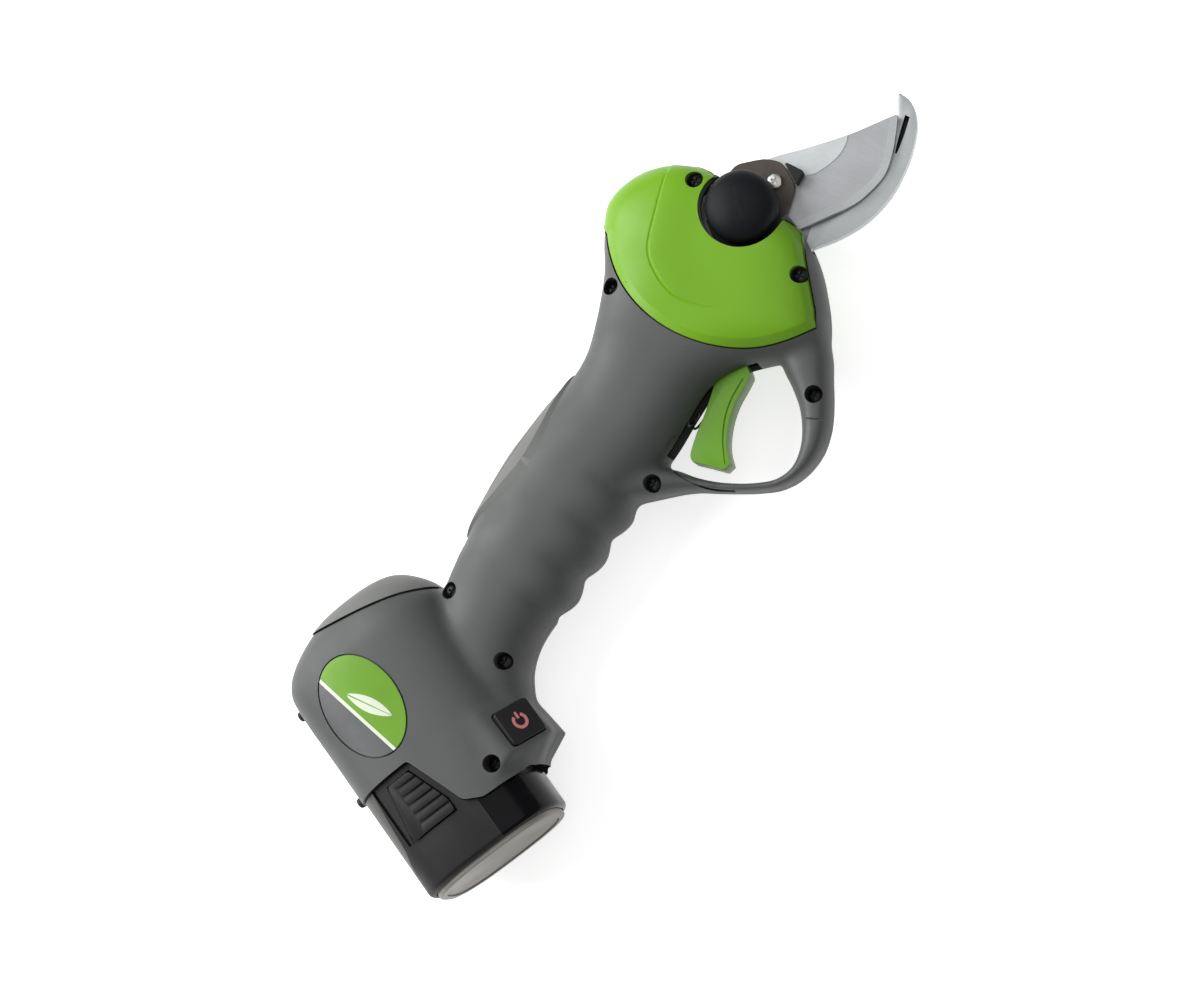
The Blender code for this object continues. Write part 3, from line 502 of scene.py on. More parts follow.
def second_material(obj, mat, choose):
    """Gives some faces of a finished piece a second material, here painted shade or a painted highlight;
    choose takes a place in the tool frame.
    """
    obj.data.materials.append(mat)
    back = TOOL.inverted()
    for polygon in obj.data.polygons:
        if choose(back @ polygon.center, polygon.normal):
            polygon.material_index = 1


# ---- materials

def feed(tree, node, **sockets):
    """Sets a node's inputs, named with _ for each space: a socket is linked, a value is set."""
    for name, value in sockets.items():
        socket = node.inputs[name.replace("_", " ")]
        if isinstance(value, bpy.types.NodeSocket):
            tree.links.new(value, socket)
        else:
            socket.default_value = value
    return node


def add_node(tree, kind, **sockets):
    return feed(tree, tree.nodes.new("ShaderNode" + kind), **sockets)


def start_material(name, colour, roughness, metallic=0.0):
    mat = bpy.data.materials.new(name)
    mat.use_nodes = True
    mat.diffuse_color = (*colour, 1)
    tree = mat.node_tree
    shader = tree.nodes["Principled BSDF"]
    feed(tree, shader, Base_Color=(*colour, 1), Roughness=roughness, Metallic=metallic)
    return mat, tree, shader, add_node(tree, "TexCoord").outputs["Object"]


def noise(tree, place, size_mm, detail=2.0, stretch=(1, 1, 1), turn=0.0):
    """Noise whose features are about size_mm, stretched along the axes after a turn about z."""
    mapping = add_node(tree, "Mapping", Vector=place, Rotation=(0, 0, turn), Scale=stretch)
    scale = 1 / (size_mm * MM)
    texture = add_node(tree, "TexNoise", Vector=mapping.outputs["Vector"], Scale=scale, Detail=detail)
    return texture.outputs["Fac"]


def remap(tree, value, low, high, to_low, to_high):
    limits = {"From_Min": low, "From_Max": high, "To_Min": to_low, "To_Max": to_high}
    return add_node(tree, "MapRange", Value=value, **limits).outputs["Result"]


def tint(tree, factor, first, second):
    """A colour mixed between two by a factor; first may be a colour or a socket."""
    node = add_node(tree, "Mix")
    node.data_type = "RGBA"
    first = (*first, 1) if isinstance(first, tuple) else first
    feed(tree, node, Factor=factor, A=first, B=(*second, 1))
    return node.outputs["Result"]


def bump(tree, shader, height, distance_mm, strength=1.0):
    node = add_node(tree, "Bump", Height=height, Distance=distance_mm * MM, Strength=strength)
    feed(tree, shader, Normal=node.outputs["Normal"])


def shade(colour, amount):
    return tuple(min(1.0, c * amount) for c in colour)


def cloudy(tree, factor, colour, dark, light):
    """A colour that drifts between a darker and a lighter shade of itself."""
    return tint(tree, factor, shade(colour, dark), shade(colour, light))


def moulded(name, colour, roughness, depth=0.02, wear=0.25, drift=0.12, gloss=0.4):
    """Moulded plastic: fine spark grain, slow colour drift, and edges rubbed paler."""
    mat, tree, shader, place = start_material(name, colour, roughness)
    base = cloudy(tree, noise(tree, place, 55, 3), colour, 1 - drift, 1 + drift)
    edge = add_node(tree, "NewGeometry").outputs["Pointiness"]
    worn = remap(tree, edge, 0.52, 0.62, 0, wear)
    pale = tuple(c + (0.45 - c) * 0.35 for c in colour)
    patch = noise(tree, place, 12, 3)
    feed(tree, shader, Specular_IOR_Level=gloss, Base_Color=tint(tree, worn, base, pale),
         Roughness=remap(tree, patch, 0.3, 0.7, roughness - 0.05, roughness + 0.07))
    bump(tree, shader, noise(tree, place, 0.45, 2), depth)
    return mat


def polished(name, colour, roughness, gloss=0.5):
    """Glossy moulded plastic with faint handling scratches and dust in its gloss."""
    mat, tree, shader, place = start_material(name, colour, roughness)
    dust = noise(tree, place, 3, 4)
    scratch = noise(tree, place, 0.8, 2, (1, 14, 1), 0.6)
    feed(tree, shader, Specular_IOR_Level=gloss,
         Base_Color=cloudy(tree, noise(tree, place, 20, 2), colour, 0.9, 1.15),
         Roughness=remap(tree, dust, 0.35, 0.75, roughness, roughness + 0.16))
    bump(tree, shader, scratch, 0.004, 0.5)
    return mat


def ground_steel(name, colour, roughness, turn=0.0, lines=0.35, depth=0.006, metallic=0.8):
    """Ground steel: fine parallel grinding lines, cloudy stains and brighter rubbed patches."""
    mat, tree, shader, place = start_material(name, colour, roughness, metallic)
    grind = noise(tree, place, lines, 3, (1, 0.06, 1), turn)
    cloud = noise(tree, place, 14, 4)
    base = cloudy(tree, cloud, colour, 0.86, 1.1)
    feed(tree, shader,
         Base_Color=tint(tree, remap(tree, grind, 0.35, 0.65, 0, 0.25), base, shade(colour, 0.7)),
         Roughness=remap(tree, cloud, 0.3, 0.7, roughness - 0.06, roughness + 0.1))
    bump(tree, shader, grind, depth)
    return mat


def coated_metal(name, colour, roughness, metallic=0.7):
    """Bronzed or plated metal: mottled coat with its edges rubbed to bare metal."""
    mat, tree, shader, place = start_material(name, colour, roughness, metallic)
    mottle = noise(tree, place, 2.5, 4)
    base = cloudy(tree, mottle, colour, 0.75, 1.25)
    edge = add_node(tree, "NewGeometry").outputs["Pointiness"]
    rub = remap(tree, edge, 0.53, 0.6, 0, 0.6)
    feed(tree, shader, Base_Color=tint(tree, rub, base, shade(colour, 2.6)),
         Roughness=remap(tree, mottle, 0.3, 0.7, roughness - 0.05, roughness + 0.1))
    bump(tree, shader, noise(tree, place, 0.3, 2), 0.006)
    return mat


def elastomer(name, colour, roughness=0.75):
    """Soft rubber: a matt skin with a fine pebbled grain."""
    mat, tree, shader, place = start_material(name, colour, roughness)
    pebble = add_node(tree, "TexVoronoi", Vector=place, Scale=1 / (0.7 * MM))
    slow = noise(tree, place, 18, 3)
    feed(tree, shader, Base_Color=cloudy(tree, slow, colour, 0.88, 1.12),
         Roughness=remap(tree, slow, 0.3, 0.7, roughness - 0.08, roughness + 0.05))
    bump(tree, shader, pebble.outputs["Distance"], 0.03, 0.6)
    return mat


GREY = moulded("satin_grey_plastic", (0.074, 0.08, 0.076), 0.52)
GREEN = moulded("lime_green_plastic", (0.16, 0.37, 0.012), 0.36, depth=0.008, wear=0.08, drift=0.06,
                gloss=0.28)
TRIGGER_GREEN = moulded("trigger_green_plastic", (0.12, 0.31, 0.006), 0.38, depth=0.01, wear=0.12)
BLACK = moulded("black_plastic", (0.010, 0.010, 0.010), 0.55, wear=0.06, gloss=0.25)
GLOSS_BLACK = polished("gloss_black_plastic", (0.002, 0.002, 0.003), 0.14, 0.13)
CAP_BLACK = moulded("cap_plastic", (0.006, 0.007, 0.009), 0.5, depth=0.006, wear=0.02, gloss=0.14)
GRIP = elastomer("grey_grip_rubber", (0.142, 0.146, 0.138), 0.6)
RUBBER = elastomer("black_rubber", (0.011, 0.011, 0.011))
RAIL = moulded("battery_rail_plastic", (0.044, 0.043, 0.037), 0.45)
BLADE = ground_steel("blade_steel", (0.43, 0.44, 0.455), 0.36, turn=0.9)
# Painted highlight: a paler steel for the moving blade's unground upper flat and its edge bevel, where
# light catches them
BLADE_HIGHLIGHT = ground_steel("painted_highlight_steel", (0.60, 0.62, 0.63), 0.4, turn=0.9, depth=0.003, metallic=0.75)
# Painted shade: near-black for the faces of the hook's slot, where the gap by the blade's edge lies in
# shadow
SLOT_SHADE = elastomer("painted_slot_shade", (0.012, 0.011, 0.010), 0.6)
HOOK = ground_steel("hook_steel", (0.54, 0.56, 0.57), 0.4, turn=0.2)
GEAR = ground_steel("gear_steel", (0.45, 0.45, 0.44), 0.35)
BRONZE = coated_metal("bronzed_clamp", (0.075, 0.065, 0.056), 0.45)
ZINC = coated_metal("zinc_plate", (0.52, 0.52, 0.49), 0.34, 0.95)
DARK_SCREW = coated_metal("black_oxide", (0.016, 0.016, 0.017), 0.45, 0.6)
BUSH = coated_metal("sintered_bronze", (0.48, 0.32, 0.13), 0.45, 0.9)
BOARD = polished("circuit_board", (0.012, 0.10, 0.045), 0.35)
CELL = polished("cell_wrap", (0.04, 0.14, 0.32), 0.3)
PLATE = ground_steel("silver_end_plate", (0.30, 0.285, 0.26), 0.5, turn=0.35, lines=0.5, depth=0.02,
                     metallic=0.3)
BADGE_GREEN = polished("badge_green", (0.125, 0.30, 0.010), 0.34, 0.35)
BADGE_DARK = polished("badge_charcoal", (0.065, 0.07, 0.075), 0.34)
BADGE_PALE = polished("badge_pale", (0.62, 0.68, 0.55), 0.35)
RED = polished("icon_red", (0.60, 0.19, 0.20), 0.4)


# ---- housing forms

def ridge_crease(x, y):
    """How far a point on the grip is drawn in by the creases between the finger ridges."""
    first, last = RIDGE_PEAKS
    if x < first - RIDGE_PITCH * 0.5 or x > last + RIDGE_PITCH * 0.5:
        return 0.0
    crease = 1 - abs(cos(pi * (x - first) / RIDGE_PITCH))
    return RIDGE_DEPTH * crease ** 2 * smoothstep((4 - y) / 14)


def handle_shape(inset=0.0, first=0, last=None, end_inset=0.0, steps=5, count=72, ridges=False):
    rings = []
    stations = spline(HANDLE[first:last], steps)
    for i, (x, front, back, half, power) in enumerate(stations):
        if i == len(stations) - 1:
            x -= end_inset
        ring = []
        for y, z in oval(front + inset, back - inset, half - inset, power, count):
            if ridges:
                middle = (front + back) / 2
                pull = ridge_crease(x, y)
                away = Vector((middle - y, -z)).normalized()
                y += pull * away.x
                z += pull * away.y
            ring.append(Vector((x, y, z)))
        rings.append(ring)
    return skin(rings)


def guard_shape(inset=0.0):
    rings = []
    path = spline(GUARD, 5)
    for i, (x, y, width, half) in enumerate(path):
        before, after = path[max(i - 1, 0)], path[min(i + 1, len(path) - 1)]
        turn = atan2(after[1] - before[1], after[0] - before[0]) + pi / 2
        pairs = oval(-width / 2 + inset, width / 2 - inset, half - inset, 2.6, 40)
        rings.append([Vector((x + u * cos(turn), y + u * sin(turn), z)) for u, z in pairs])
    return skin(rings)


def foot_shape(inset=0.0, top_inset=0.0, run_out=0.0, steps=5, squarer=0.0):
    rows = []
    for i, (s, left, right, half, power) in enumerate(FOOT):
        if i < 3:
            s += top_inset
        if i == len(FOOT) - 1:
            s += run_out
        rows.append((s, left, right, half, power))
    rings = []
    for s, left, right, half, power in spline(rows, steps):
        pairs = oval(left + inset, right - inset, half - inset, power + squarer, 80)
        rings.append([foot(s, t, z) for t, z in pairs])
    return skin(rings)


def boss_shape():
    rings = []
    for s, front, half in BOSS:
        shoulder = front - FACET_RUN
        outline = [(6, -25.2), (shoulder, -24.6), (front, -half), (front, half), (shoulder, 24.6),
                   (6, 25.2)]
        rings.append([foot(s, t, z) for t, z in rounded(outline, 2.5)])
    return skin(rings)


def pack_shape(inset, start, end, soft=0.0, size=PACK, power=2.8):
    """A length of the battery pack's oval section; its end is rounded over by soft."""
    left, right, half = size
    stations = [(start, 0), (end, 0)]
    if soft:
        quarter = [radians(15 * k) for k in range(7)]
        stations = [(start, 0)] + [(end - soft + soft * sin(a), soft * (1 - cos(a))) for a in quarter]
    rings = []
    for s, draw in stations:
        pull = inset + draw
        rings.append([foot(s, t, z) for t, z in oval(left + pull, right - pull, half - pull, power, 96)])
    return skin(rings)


def housing_form():
    """The whole outer body with its parts blended into each other."""
    shapes = {"handle": handle_shape(ridges=True), "guard": guard_shape(), "foot": foot_shape(),
              "boss": boss_shape()}
    parts = {name: solid(name, shape) for name, shape in shapes.items()}
    view = bpy.context.evaluated_depsgraph_get()
    trees = {name: BVHTree.FromObject(part, view) for name, part in parts.items()}
    form = remesh(solid("body_form", merged(shapes.values())))
    group = form.vertex_groups.new(name="junction")
    for vertex in form.data.vertices:
        away = {name: tree.find_nearest(vertex.co)[3] for name, tree in trees.items()}
        weight = 0.0
        for first, second, reach in (("handle", "foot", 8), ("handle", "guard", 6), ("foot", "boss", 2),
                                     ("handle", "boss", 4)):
            weight = max(weight, 1 - smoothstep(max(away[first], away[second]) / reach))
        if weight > 0:
            group.add([vertex.index], weight, "REPLACE")
    modify(form, "SMOOTH", factor=0.6, iterations=60, vertex_group="junction")
    bake_modifiers(form)
    discard(*parts.values())
    return form


def screw_recess_shape(names=SCREWS):
    shapes = []
    for name in names:
        x, y, seat, tip = SCREWS[name]
        shank = SHANK_R + 0.35
        profile = [(-30, RECESS_R), (2.5 - seat, RECESS_R), (2.5 - seat, shank), (1 - tip, shank)]
        shapes.append(turned((x, y, 0), (0, 0, -1), profile, 32))
    return merged(shapes)


def cavity_form():
    """The hollow inside both halves, less the bosses that stand in it."""
    hollow = solid("hollow", handle_shape(WALL, last=GRIP_TO, steps=2, count=32))
    join(hollow, handle_shape(HEAD_WALL, HEAD_FROM, end_inset=3.0, steps=2, count=32),
         foot_shape(BAY_WALL, 3.2, run_out=20, steps=2, squarer=0.3))
    posts = []
    for name, (x, y, _, _) in SCREWS.items():
        low = 8.9 if name == "cover_screw_back" else -24
        posts.append(upright(x, y, [(low, 4.2), (24, 4.2)], 24))
    for side in (-1, 1):
        posts.append(turned((*TRIGGER_PIVOT, 0), (0, 0, side), [(TRIGGER_HALF + 0.6, 4), (24, 4)], 24))
    return cut(hollow, merged(posts))


def cover_outline(extra=0.0):
    """Outline of the green cover: arc about the pivot, then round the nose and the cap."""
    outline = arc((0, 0), COVER_R + extra, 128, 241, 60)
    outline += [(-19, -40.3 - extra), (-5, -28.4 - extra), (3.6 + extra, -21.3 - extra),
                (3.4 + extra, -15.5)]
    outline += arc((0, 0), MOUTH_R - extra, 282, 72, 48)
    outline += [(7 + extra, 17), (7 + extra, 33), (-5, 50), (-25, 52)]
    return outline


def palm_outline(extra=0.0):
    """Lens in x and z on the back of the handle."""
    points = []
    for i in range(72):
        angle = 2 * pi * i / 72
        bulge = 0.75 + 0.25 * abs(sin(angle))
        points.append((-115 + (35 + extra) * cos(angle), (16.4 + extra) * sin(angle) * bulge))
    return points


def badge_outline(extra=0.0):
    return [(34.6 + (19.7 + extra) * cos(2 * pi * i / 72), -4.7 + (14 + extra) * sin(2 * pi * i / 72))
            for i in range(72)]


def heel_outline(extra=0.0):
    return rounded(grow(HEEL_EDGE, extra), 6)


def by_back(x, z, y):
    return Vector((x, y, z))


def button_frame(u, w, h):
    """Frame of the power button: u along the foot, w down its facet, h out of it."""
    facet = ACROSS * sin(BUTTON_TILT) - Vector((0, 0, cos(BUTTON_TILT)))
    out = ACROSS * cos(BUTTON_TILT) + Vector((0, 0, sin(BUTTON_TILT)))
    return foot(71.8, 36.2, 17.9) + u * ALONG + w * facet + h * out


def square(half_u, half_w, radius):
    corners = [(half_u, half_w), (-half_u, half_w), (-half_u, -half_w), (half_u, -half_w)]
    return rounded(corners, radius, 5)


def housing_cutters():
    """Everything cut out of both halves."""
    slot = [(-84, -30), (-89, -26), (-89, -10), (-42, -9), (-42, -29), (-50, -34), (-60, -33)]
    mouth = [(20, -60), (-9, -17), (-9, 24), (-5, 60), (30, 60), (30, -60)]
    near = upright(0, 0, [(2, MOUTH_R - 0.5), (30, MOUTH_R - 0.5)], 64)
    far = upright(0, 0, [(-30, 9.4), (-13, 9.4), (-13, 12), (-2, 12)], 48)
    shapes = {
        "battery_opening": prism(rounded(BATTERY_EDGE, 1.5), -60, 60, foot),
        "trigger_slot": prism(slot, -TRIGGER_HALF - 0.6, TRIGGER_HALF + 0.6),
        "blade_slot": prism(mouth, HOOK_Z[0] - 0.8, CLAMP_Z[1] + 0.8),
        "pivot_holes": merged([near, far]),
        "screw_recesses": screw_recess_shape(),
    }
    palm = solid("palm_region", prism(palm_outline(SEAM), 4, 60, by_back))
    heel = solid("heel_region", prism(heel_outline(HEEL_SEAM), -40, 40, foot))
    return [solid(name, shape) for name, shape in shapes.items()] + [
        cut(palm, handle_shape(1.6)),
        cut(heel, foot_shape(1.0, 1.0), handle_shape(last=NECK_TO)),
    ]


def make_housing():
    form = housing_form()
    cavity = cavity_form()
    cutters = housing_cutters()
    away = [(-300, -90), (120, -90), (120, 90), (-300, 90)]
    mould_line = [(-55.4, -53.1), (-54.8, -52.8), (-48.4, -67.1), (-49, -67.4)]
    lip = spline(GUARD_LIP, 5)
    lip_seam = solid("lip_seam", prism(lip + [(x + 0.55, y + 0.4) for x, y in lip[::-1]], 2, 30))
    cut(lip_seam, guard_shape(0.7), handle_shape(0.7))
    for side, hand in SIDES:
        half = copy_of(form, f"housing_{hand}_shell")
        cover_pocket = solid("cover_pocket", prism(cover_outline(SEAM), side * 6.65, side * 40))
        cut(cover_pocket, handle_shape(2.4, HEAD_FROM))
        cut(half, prism(away, side * PARTING, -side * 70), cover_pocket)
        cut(half, cavity, *cutters, keep=True)
        if side > 0:
            badge = solid("badge_region", prism(badge_outline(SEAM), 15, 40, foot))
            cut(half, cut(badge, foot_shape(1.0, 1.0)),
                prism(square(7.25, 7.85, 1.9), -12, 10, button_frame), prism(mould_line, 9.4, 20), lip_seam)
        piece(half, "housing", GREY, [f"housing_{hand}"], crease=40)
    discard(form, cavity, *cutters)


# ---- covers and trim

def cover_rim():
    """The part of the cover's outline that follows the housing, away from the cap."""
    return [p for p in cover_outline() if Vector(p).length > MOUTH_R + 2]


def refine(obj, side, paths, reach, longest):
    """Splits a cover's outer edges that lie near any of the paths until they are short."""
    bm = bmesh.new()
    bm.from_mesh(obj.data)
    for _ in range(3):
        bmesh.ops.triangulate(bm, faces=bm.faces)
        near = {}
        for vertex in bm.verts:
            outer = vertex.normal.z * side > 0.2
            near[vertex] = outer and min(path_distance(vertex.co.xy, path)[0] for path in paths) < reach
        edges = [e for e in bm.edges if e.calc_length() > longest and any(near[v] for v in e.verts)]
        bmesh.ops.subdivide_edges(bm, edges=edges, cuts=1)
    bmesh.ops.triangulate(bm, faces=bm.faces)
    bm.to_mesh(obj.data)
    bm.free()


def cover_relief(side, rim, crescent):
    """Shift for a cover's outer face: its chamfered rim and the raised crescent."""
    def shift(place, normal):
        if normal.z * side < 0.25:
            return None
        drop = 1.1 * max(0.0, 1 - path_distance(place.xy, rim)[0] / RIM_WIDTH)
        away, turn, share = path_distance(place.xy, crescent)
        fade = 1 - smoothstep((share - 0.55) / 0.45)
        step = smoothstep(0.5 + away * turn / 0.7)
        lift = step * (1 - smoothstep(away / 17)) * fade
        crease = 0.3 * max(0.0, 1 - abs(away * turn + 0.45) / 0.45) * fade
        return Vector((0, 0, side * (lift - drop - crease)))

    return shift


def make_covers():
    rim, crescent = cover_rim(), spline(CRESCENT, 4)
    line = [tuple(Vector(p) * (1 - RIM_WIDTH / COVER_R)) for p in rim]
    for side, hand in SIDES:
        cover = panel(f"head_cover_{hand}_shell", handle_shape(-0.55, HEAD_FROM, steps=9, count=150),
                      prism(cover_outline(), side * 7, side * 40),
                      handle_shape(2.05, HEAD_INSIDE_FROM, end_inset=-10))
        if side > 0:
            cut(cover, screw_recess_shape(list(SCREWS)[:2]))
        refine(cover, side, (crescent, line), 1.3, 0.4)
        move_vertices(cover, cover_relief(side, rim, crescent))
        piece(cover, "housing", GREEN, [f"head_cover_{hand}"], crease=30)


def make_palm_pad():
    pad = panel("palm_pad_skin", handle_shape(-1.1, steps=6, count=120),
                prism(palm_outline(), 4.35, 60, by_back), handle_shape(1.25))
    lines = []
    for offset in (-6.5, -4.5):
        loops = (palm_outline(offset), palm_outline(offset - 0.6))
        ring = [[Vector((x, y, z)) for x, z in loop] for y in (28.0, 60) for loop in loops]
        lines.append(skin([ring[0], ring[1], ring[3], ring[2]], closed=True))
    cut(pad, cut(solid("palm_grooves", merged(lines)), handle_shape(-0.55)))
    piece(pad, "housing", GRIP, ["palm_pad"])


def make_heel_bumper():
    heel = panel("heel_bumper_skin", foot_shape(-0.4, -0.4, steps=8), prism(heel_outline(), -40, 40, foot),
                 foot_shape(0.65, 0.65), handle_shape(-0.6, last=NECK_TO))
    piece(heel, "housing", GRIP, ["heel_bumper"])


def make_badge():
    """A plain two-tone oval, parted by a pale band, with a leaf on it."""
    face = panel("badge_face", foot_shape(-0.16, -0.16, steps=6), prism(badge_outline(), 15.35, 40, foot),
                 foot_shape(0.65, 0.65))
    near, far = Vector((13, -13.3)), Vector((59, -2.8))
    bands = {"badge_field": (0.75, 30, BADGE_GREEN), "badge_base": (-30, -0.75, BADGE_DARK),
             "badge_band": (-0.65, 0.65, BADGE_PALE)}
    for name, (low, high, mat) in bands.items():
        corners = [(near, low), (far, low), (far, high), (near, high)]
        region = [(point.x, point.y + shift) for point, shift in corners]
        part = common(copy_of(face, name), prism(region, 10, 50, foot))
        piece(part, "housing", mat, ["badge"] if name == "badge_field" else [])
    discard(face)
    tip, stem = near.lerp(far, 0.68) + Vector((0, 8.5)), near.lerp(far, 0.32) + Vector((0, 3))
    run = tip - stem
    side = Vector((-run.y, run.x)).normalized()
    shares = [(1, k / 12) for k in range(12)] + [(-1, 1 - k / 12) for k in range(12)]
    leaf = [tuple(stem + run * share + side * way * 2.6 * sin(pi * share) ** 0.8) for way, share in shares]
    corners = ((stem, 0.25), (tip, 0.1), (tip, -0.1), (stem, -0.25))
    vein = [tuple(end + side * half) for end, half in corners]
    blade = panel("badge_leaf", foot_shape(-0.27, -0.27, steps=6), prism(leaf, 15.35, 40, foot),
                  foot_shape(0.3, 0.3), prism(vein, 10, 50, foot))
    piece(blade, "housing", BADGE_PALE)


def make_studs():
    for name, s, t in (("stud_upper", 18.5, -28.5), ("stud_lower", 57, -28.8)):
        profile = [(0, 2.0), (1.7, 2.0), (2.3, 1.8), (2.65, 1.4), (2.85, 0.8), (2.9, 0.02)]
        shape = turned(foot(s, t), -ACROSS, profile, 32)
        piece(solid(name + "_nub", shape), "housing", RUBBER, [name])


def cross_recess(x, y, top, reach, depth):
    """Two crossed slots for a driver."""
    bars = []
    for half_x, half_y in ((reach, reach * 0.22), (reach * 0.22, reach)):
        corners = [(-half_x, -half_y), (half_x, -half_y), (half_x, half_y), (-half_x, half_y)]
        bars.append(prism([(x + u, y + w) for u, w in corners], top - depth, top + 1))
    return bars


def make_screws():
    for name, (x, y, seat, tip) in SCREWS.items():
        neck = seat - 2.15
        profile = [(tip, 0.3), (tip + 1.2, SHANK_R), (neck, SHANK_R), (neck, HEAD_R - 0.1),
                   (neck + 0.3, HEAD_R), (seat - 0.9, HEAD_R), (seat - 0.35, HEAD_R - 0.45),
                   (seat, HEAD_R - 1.3), (seat, 0.02)]
        screw = solid(name + "_fine", upright(x, y, profile, 40))
        cut(screw, *cross_recess(x, y, seat, 1.6, 1.3))
        piece(screw, "housing", DARK_SCREW, [name])


# ---- blades and pivot

def make_fixed_blade():
    outline = spline(HOOK_OUTER, 6) + spline(HOOK_INNER, 5)
    outline += arc((0, 0), 15, -10, 70, 16) + arc((-3, 22), 5, 40, 180, 14) + [(-9, 14)]
    outline += arc((0, 0), 14.5, 150, 215, 12) + arc((-4, -20), 5, 160, 260, 12)
    hook = solid("fixed_blade_ground", prism(outline, *HOOK_Z))
    seat = [(-10, 2.1), (-2.9, 2.1), (-2.9, 3.6), (5, 3.6)]
    cut(hook, hole(0, 0, 7.3, -10, 10))
    for x, y in EARS:
        cut(hook, upright(x, y, seat, 32))
    soften(hook, 0.45, 2, 50)
    slot = spline(SAP_SLOT, 5)
    cut(hook, prism([(x, y + w) for x, y, w in slot] + [(x, y - w) for x, y, w in slot[::-1]], -3.6, 2))
    piece(hook, "housing", HOOK, ["fixed_blade"], crease=25)
    line = [(x, y) for x, y, _ in slot]
    # Painted shade: the slot's faces are coloured near-black
    second_material(hook, SLOT_SHADE, lambda place, normal: -3.7 < place.z < -0.8
                    and path_distance(place.xy, line)[0] < 1.05)


def edge_grind_shape():
    """What sharpening takes off the blade's near face along its edge."""
    top = BLADE_Z[1] - FACE_DEPTH
    rings = []
    for x, y in spline([(62, -26)] + EDGE, 4):
        away = Vector((x - 30, y + 2, 0)).normalized()
        edge = Vector((x, y, top - GRIND_DEPTH))
        flat = Vector((x, y, top)) - away * GRIND_WIDTH
        rise = Vector((0, 0, 2))
        rings.append([flat + rise, flat, edge, edge + away * 10, edge + away * 10 + rise * 2])
    return skin(rings)


def make_moving_blade():
    top = BLADE_Z[1]
    outline = spline(SPINE, 4) + spline(EDGE, 6) + arc((0, 0), 14, -110, -165, 12)
    outline += arc((0, 0), 27, 186, 142, 16) + arc((0, 0), 15.8, 100, 55, 12)
    blade = solid("moving_blade_ground", prism(outline, *BLADE_Z))
    ground = spline(FACE_LINE, 5) + [(75, -13), (75, -50), (-12, -50), (-12, -6)]
    cut(blade, prism(ground, top - FACE_DEPTH, 9), edge_grind_shape())
    cut(blade, hole(0, 0, BOLT_HOLE_R, -10, 10), hole(*CLAMP_SCREW, CLAMP_HOLE_R, -10, 10))
    for x, y in SECTOR_BOSSES:
        cut(blade, hole(x, y, 2.1, -10, 10))
    piece(blade, "blade", BLADE, ["moving_blade"], crease=12)
    # Painted highlight: the upper flat and the tilted bevel faces take the paler steel
    second_material(blade, BLADE_HIGHLIGHT, lambda place, normal: place.z > top - 0.02 or 0.3 < normal.z < 0.98)


def make_clamp():
    plate = [(0, 14), (13.4, 12.4), (20.2, 4.2), (22, -2.2), (16.7, -10.6), (2, -13.6), (-4, -13.8)]
    outline = rounded(plate, 2.5)[5:-5]
    outline += arc((0, 0), 14.5, -95, -210, 40) + arc((0, 0), 14.5, 130, 80, 12)
    clamp = solid("clamp_plate_bronzed", prism(outline, *CLAMP_Z))
    cut(clamp, hole(0, 0, BOLT_HOLE_R, 0, 20), hole(*CLAMP_SCREW, CLAMP_HOLE_R, 0, 20))
    edge_loops(soften(clamp, 0.6, 3, 50), 0.3, 20)
    piece(clamp, "blade", BRONZE, ["clamp_plate"])
    stop = rounded([(17.2, -10.9), (22.6, -10.9), (22.4, -4.2), (21.8, -3.4)], 1.0)
    block = soften(solid("blade_stop_rubber", prism(stop, CLAMP_Z[0], 9.0)), 0.6, 3, 50)
    piece(block, "blade", RUBBER, ["blade_stop"])
    profile = [(1, 1.5), (7.3, 1.5), (7.3, 2.5), (7.6, 2.8), (8.4, 2.8), (9.0, 2.4), (9.3, 1.6),
               (9.3, 0.02)]
    screw = solid("clamp_screw_fine", upright(*CLAMP_SCREW, profile, 40))
    cut(screw, *cross_recess(*CLAMP_SCREW, 9.3, 1.3, 0.8))
    piece(screw, "blade", ZINC, ["clamp_screw"])


def make_pivot():
    outer = spline([(7.6, 12.0), (11, 12.5), (15.5, 12.85), (19, 12.95), (21.6, 12.2), (23.6, 10.3),
                    (25, 7.4), (25.8, 4), (26.1, 0.03)], 4)
    inner = [(24, 0.03), (23.4, 5), (21.4, 9.2), (18, 11.2), (7.6, 11.2)]
    cap = solid("pivot_cap_dome", upright(0, 0, outer + inner, 96, closed=True))
    piece(cap, "blade", CAP_BLACK, ["pivot_cap"], crease=50)
    bolt = [(-17.6, 0.02), (-17.6, 5.6), (-17.3, 7.2), (-16.6, 8), (-15.5, 8.15), (-13.7, 8.15),
            (-13.5, 7.9), (-13.5, 5), (12.2, 5), (13, 4.2), (13, 0.02)]
    shaft = solid("pivot_bolt_fine", upright(0, 0, bolt, 64))
    cut(shaft, upright(0, 0, [(-30, 3.6), (-14.6, 3.6)], 6))
    piece(shaft, "blade", ZINC, ["pivot_bolt"])


# ---- trigger and button

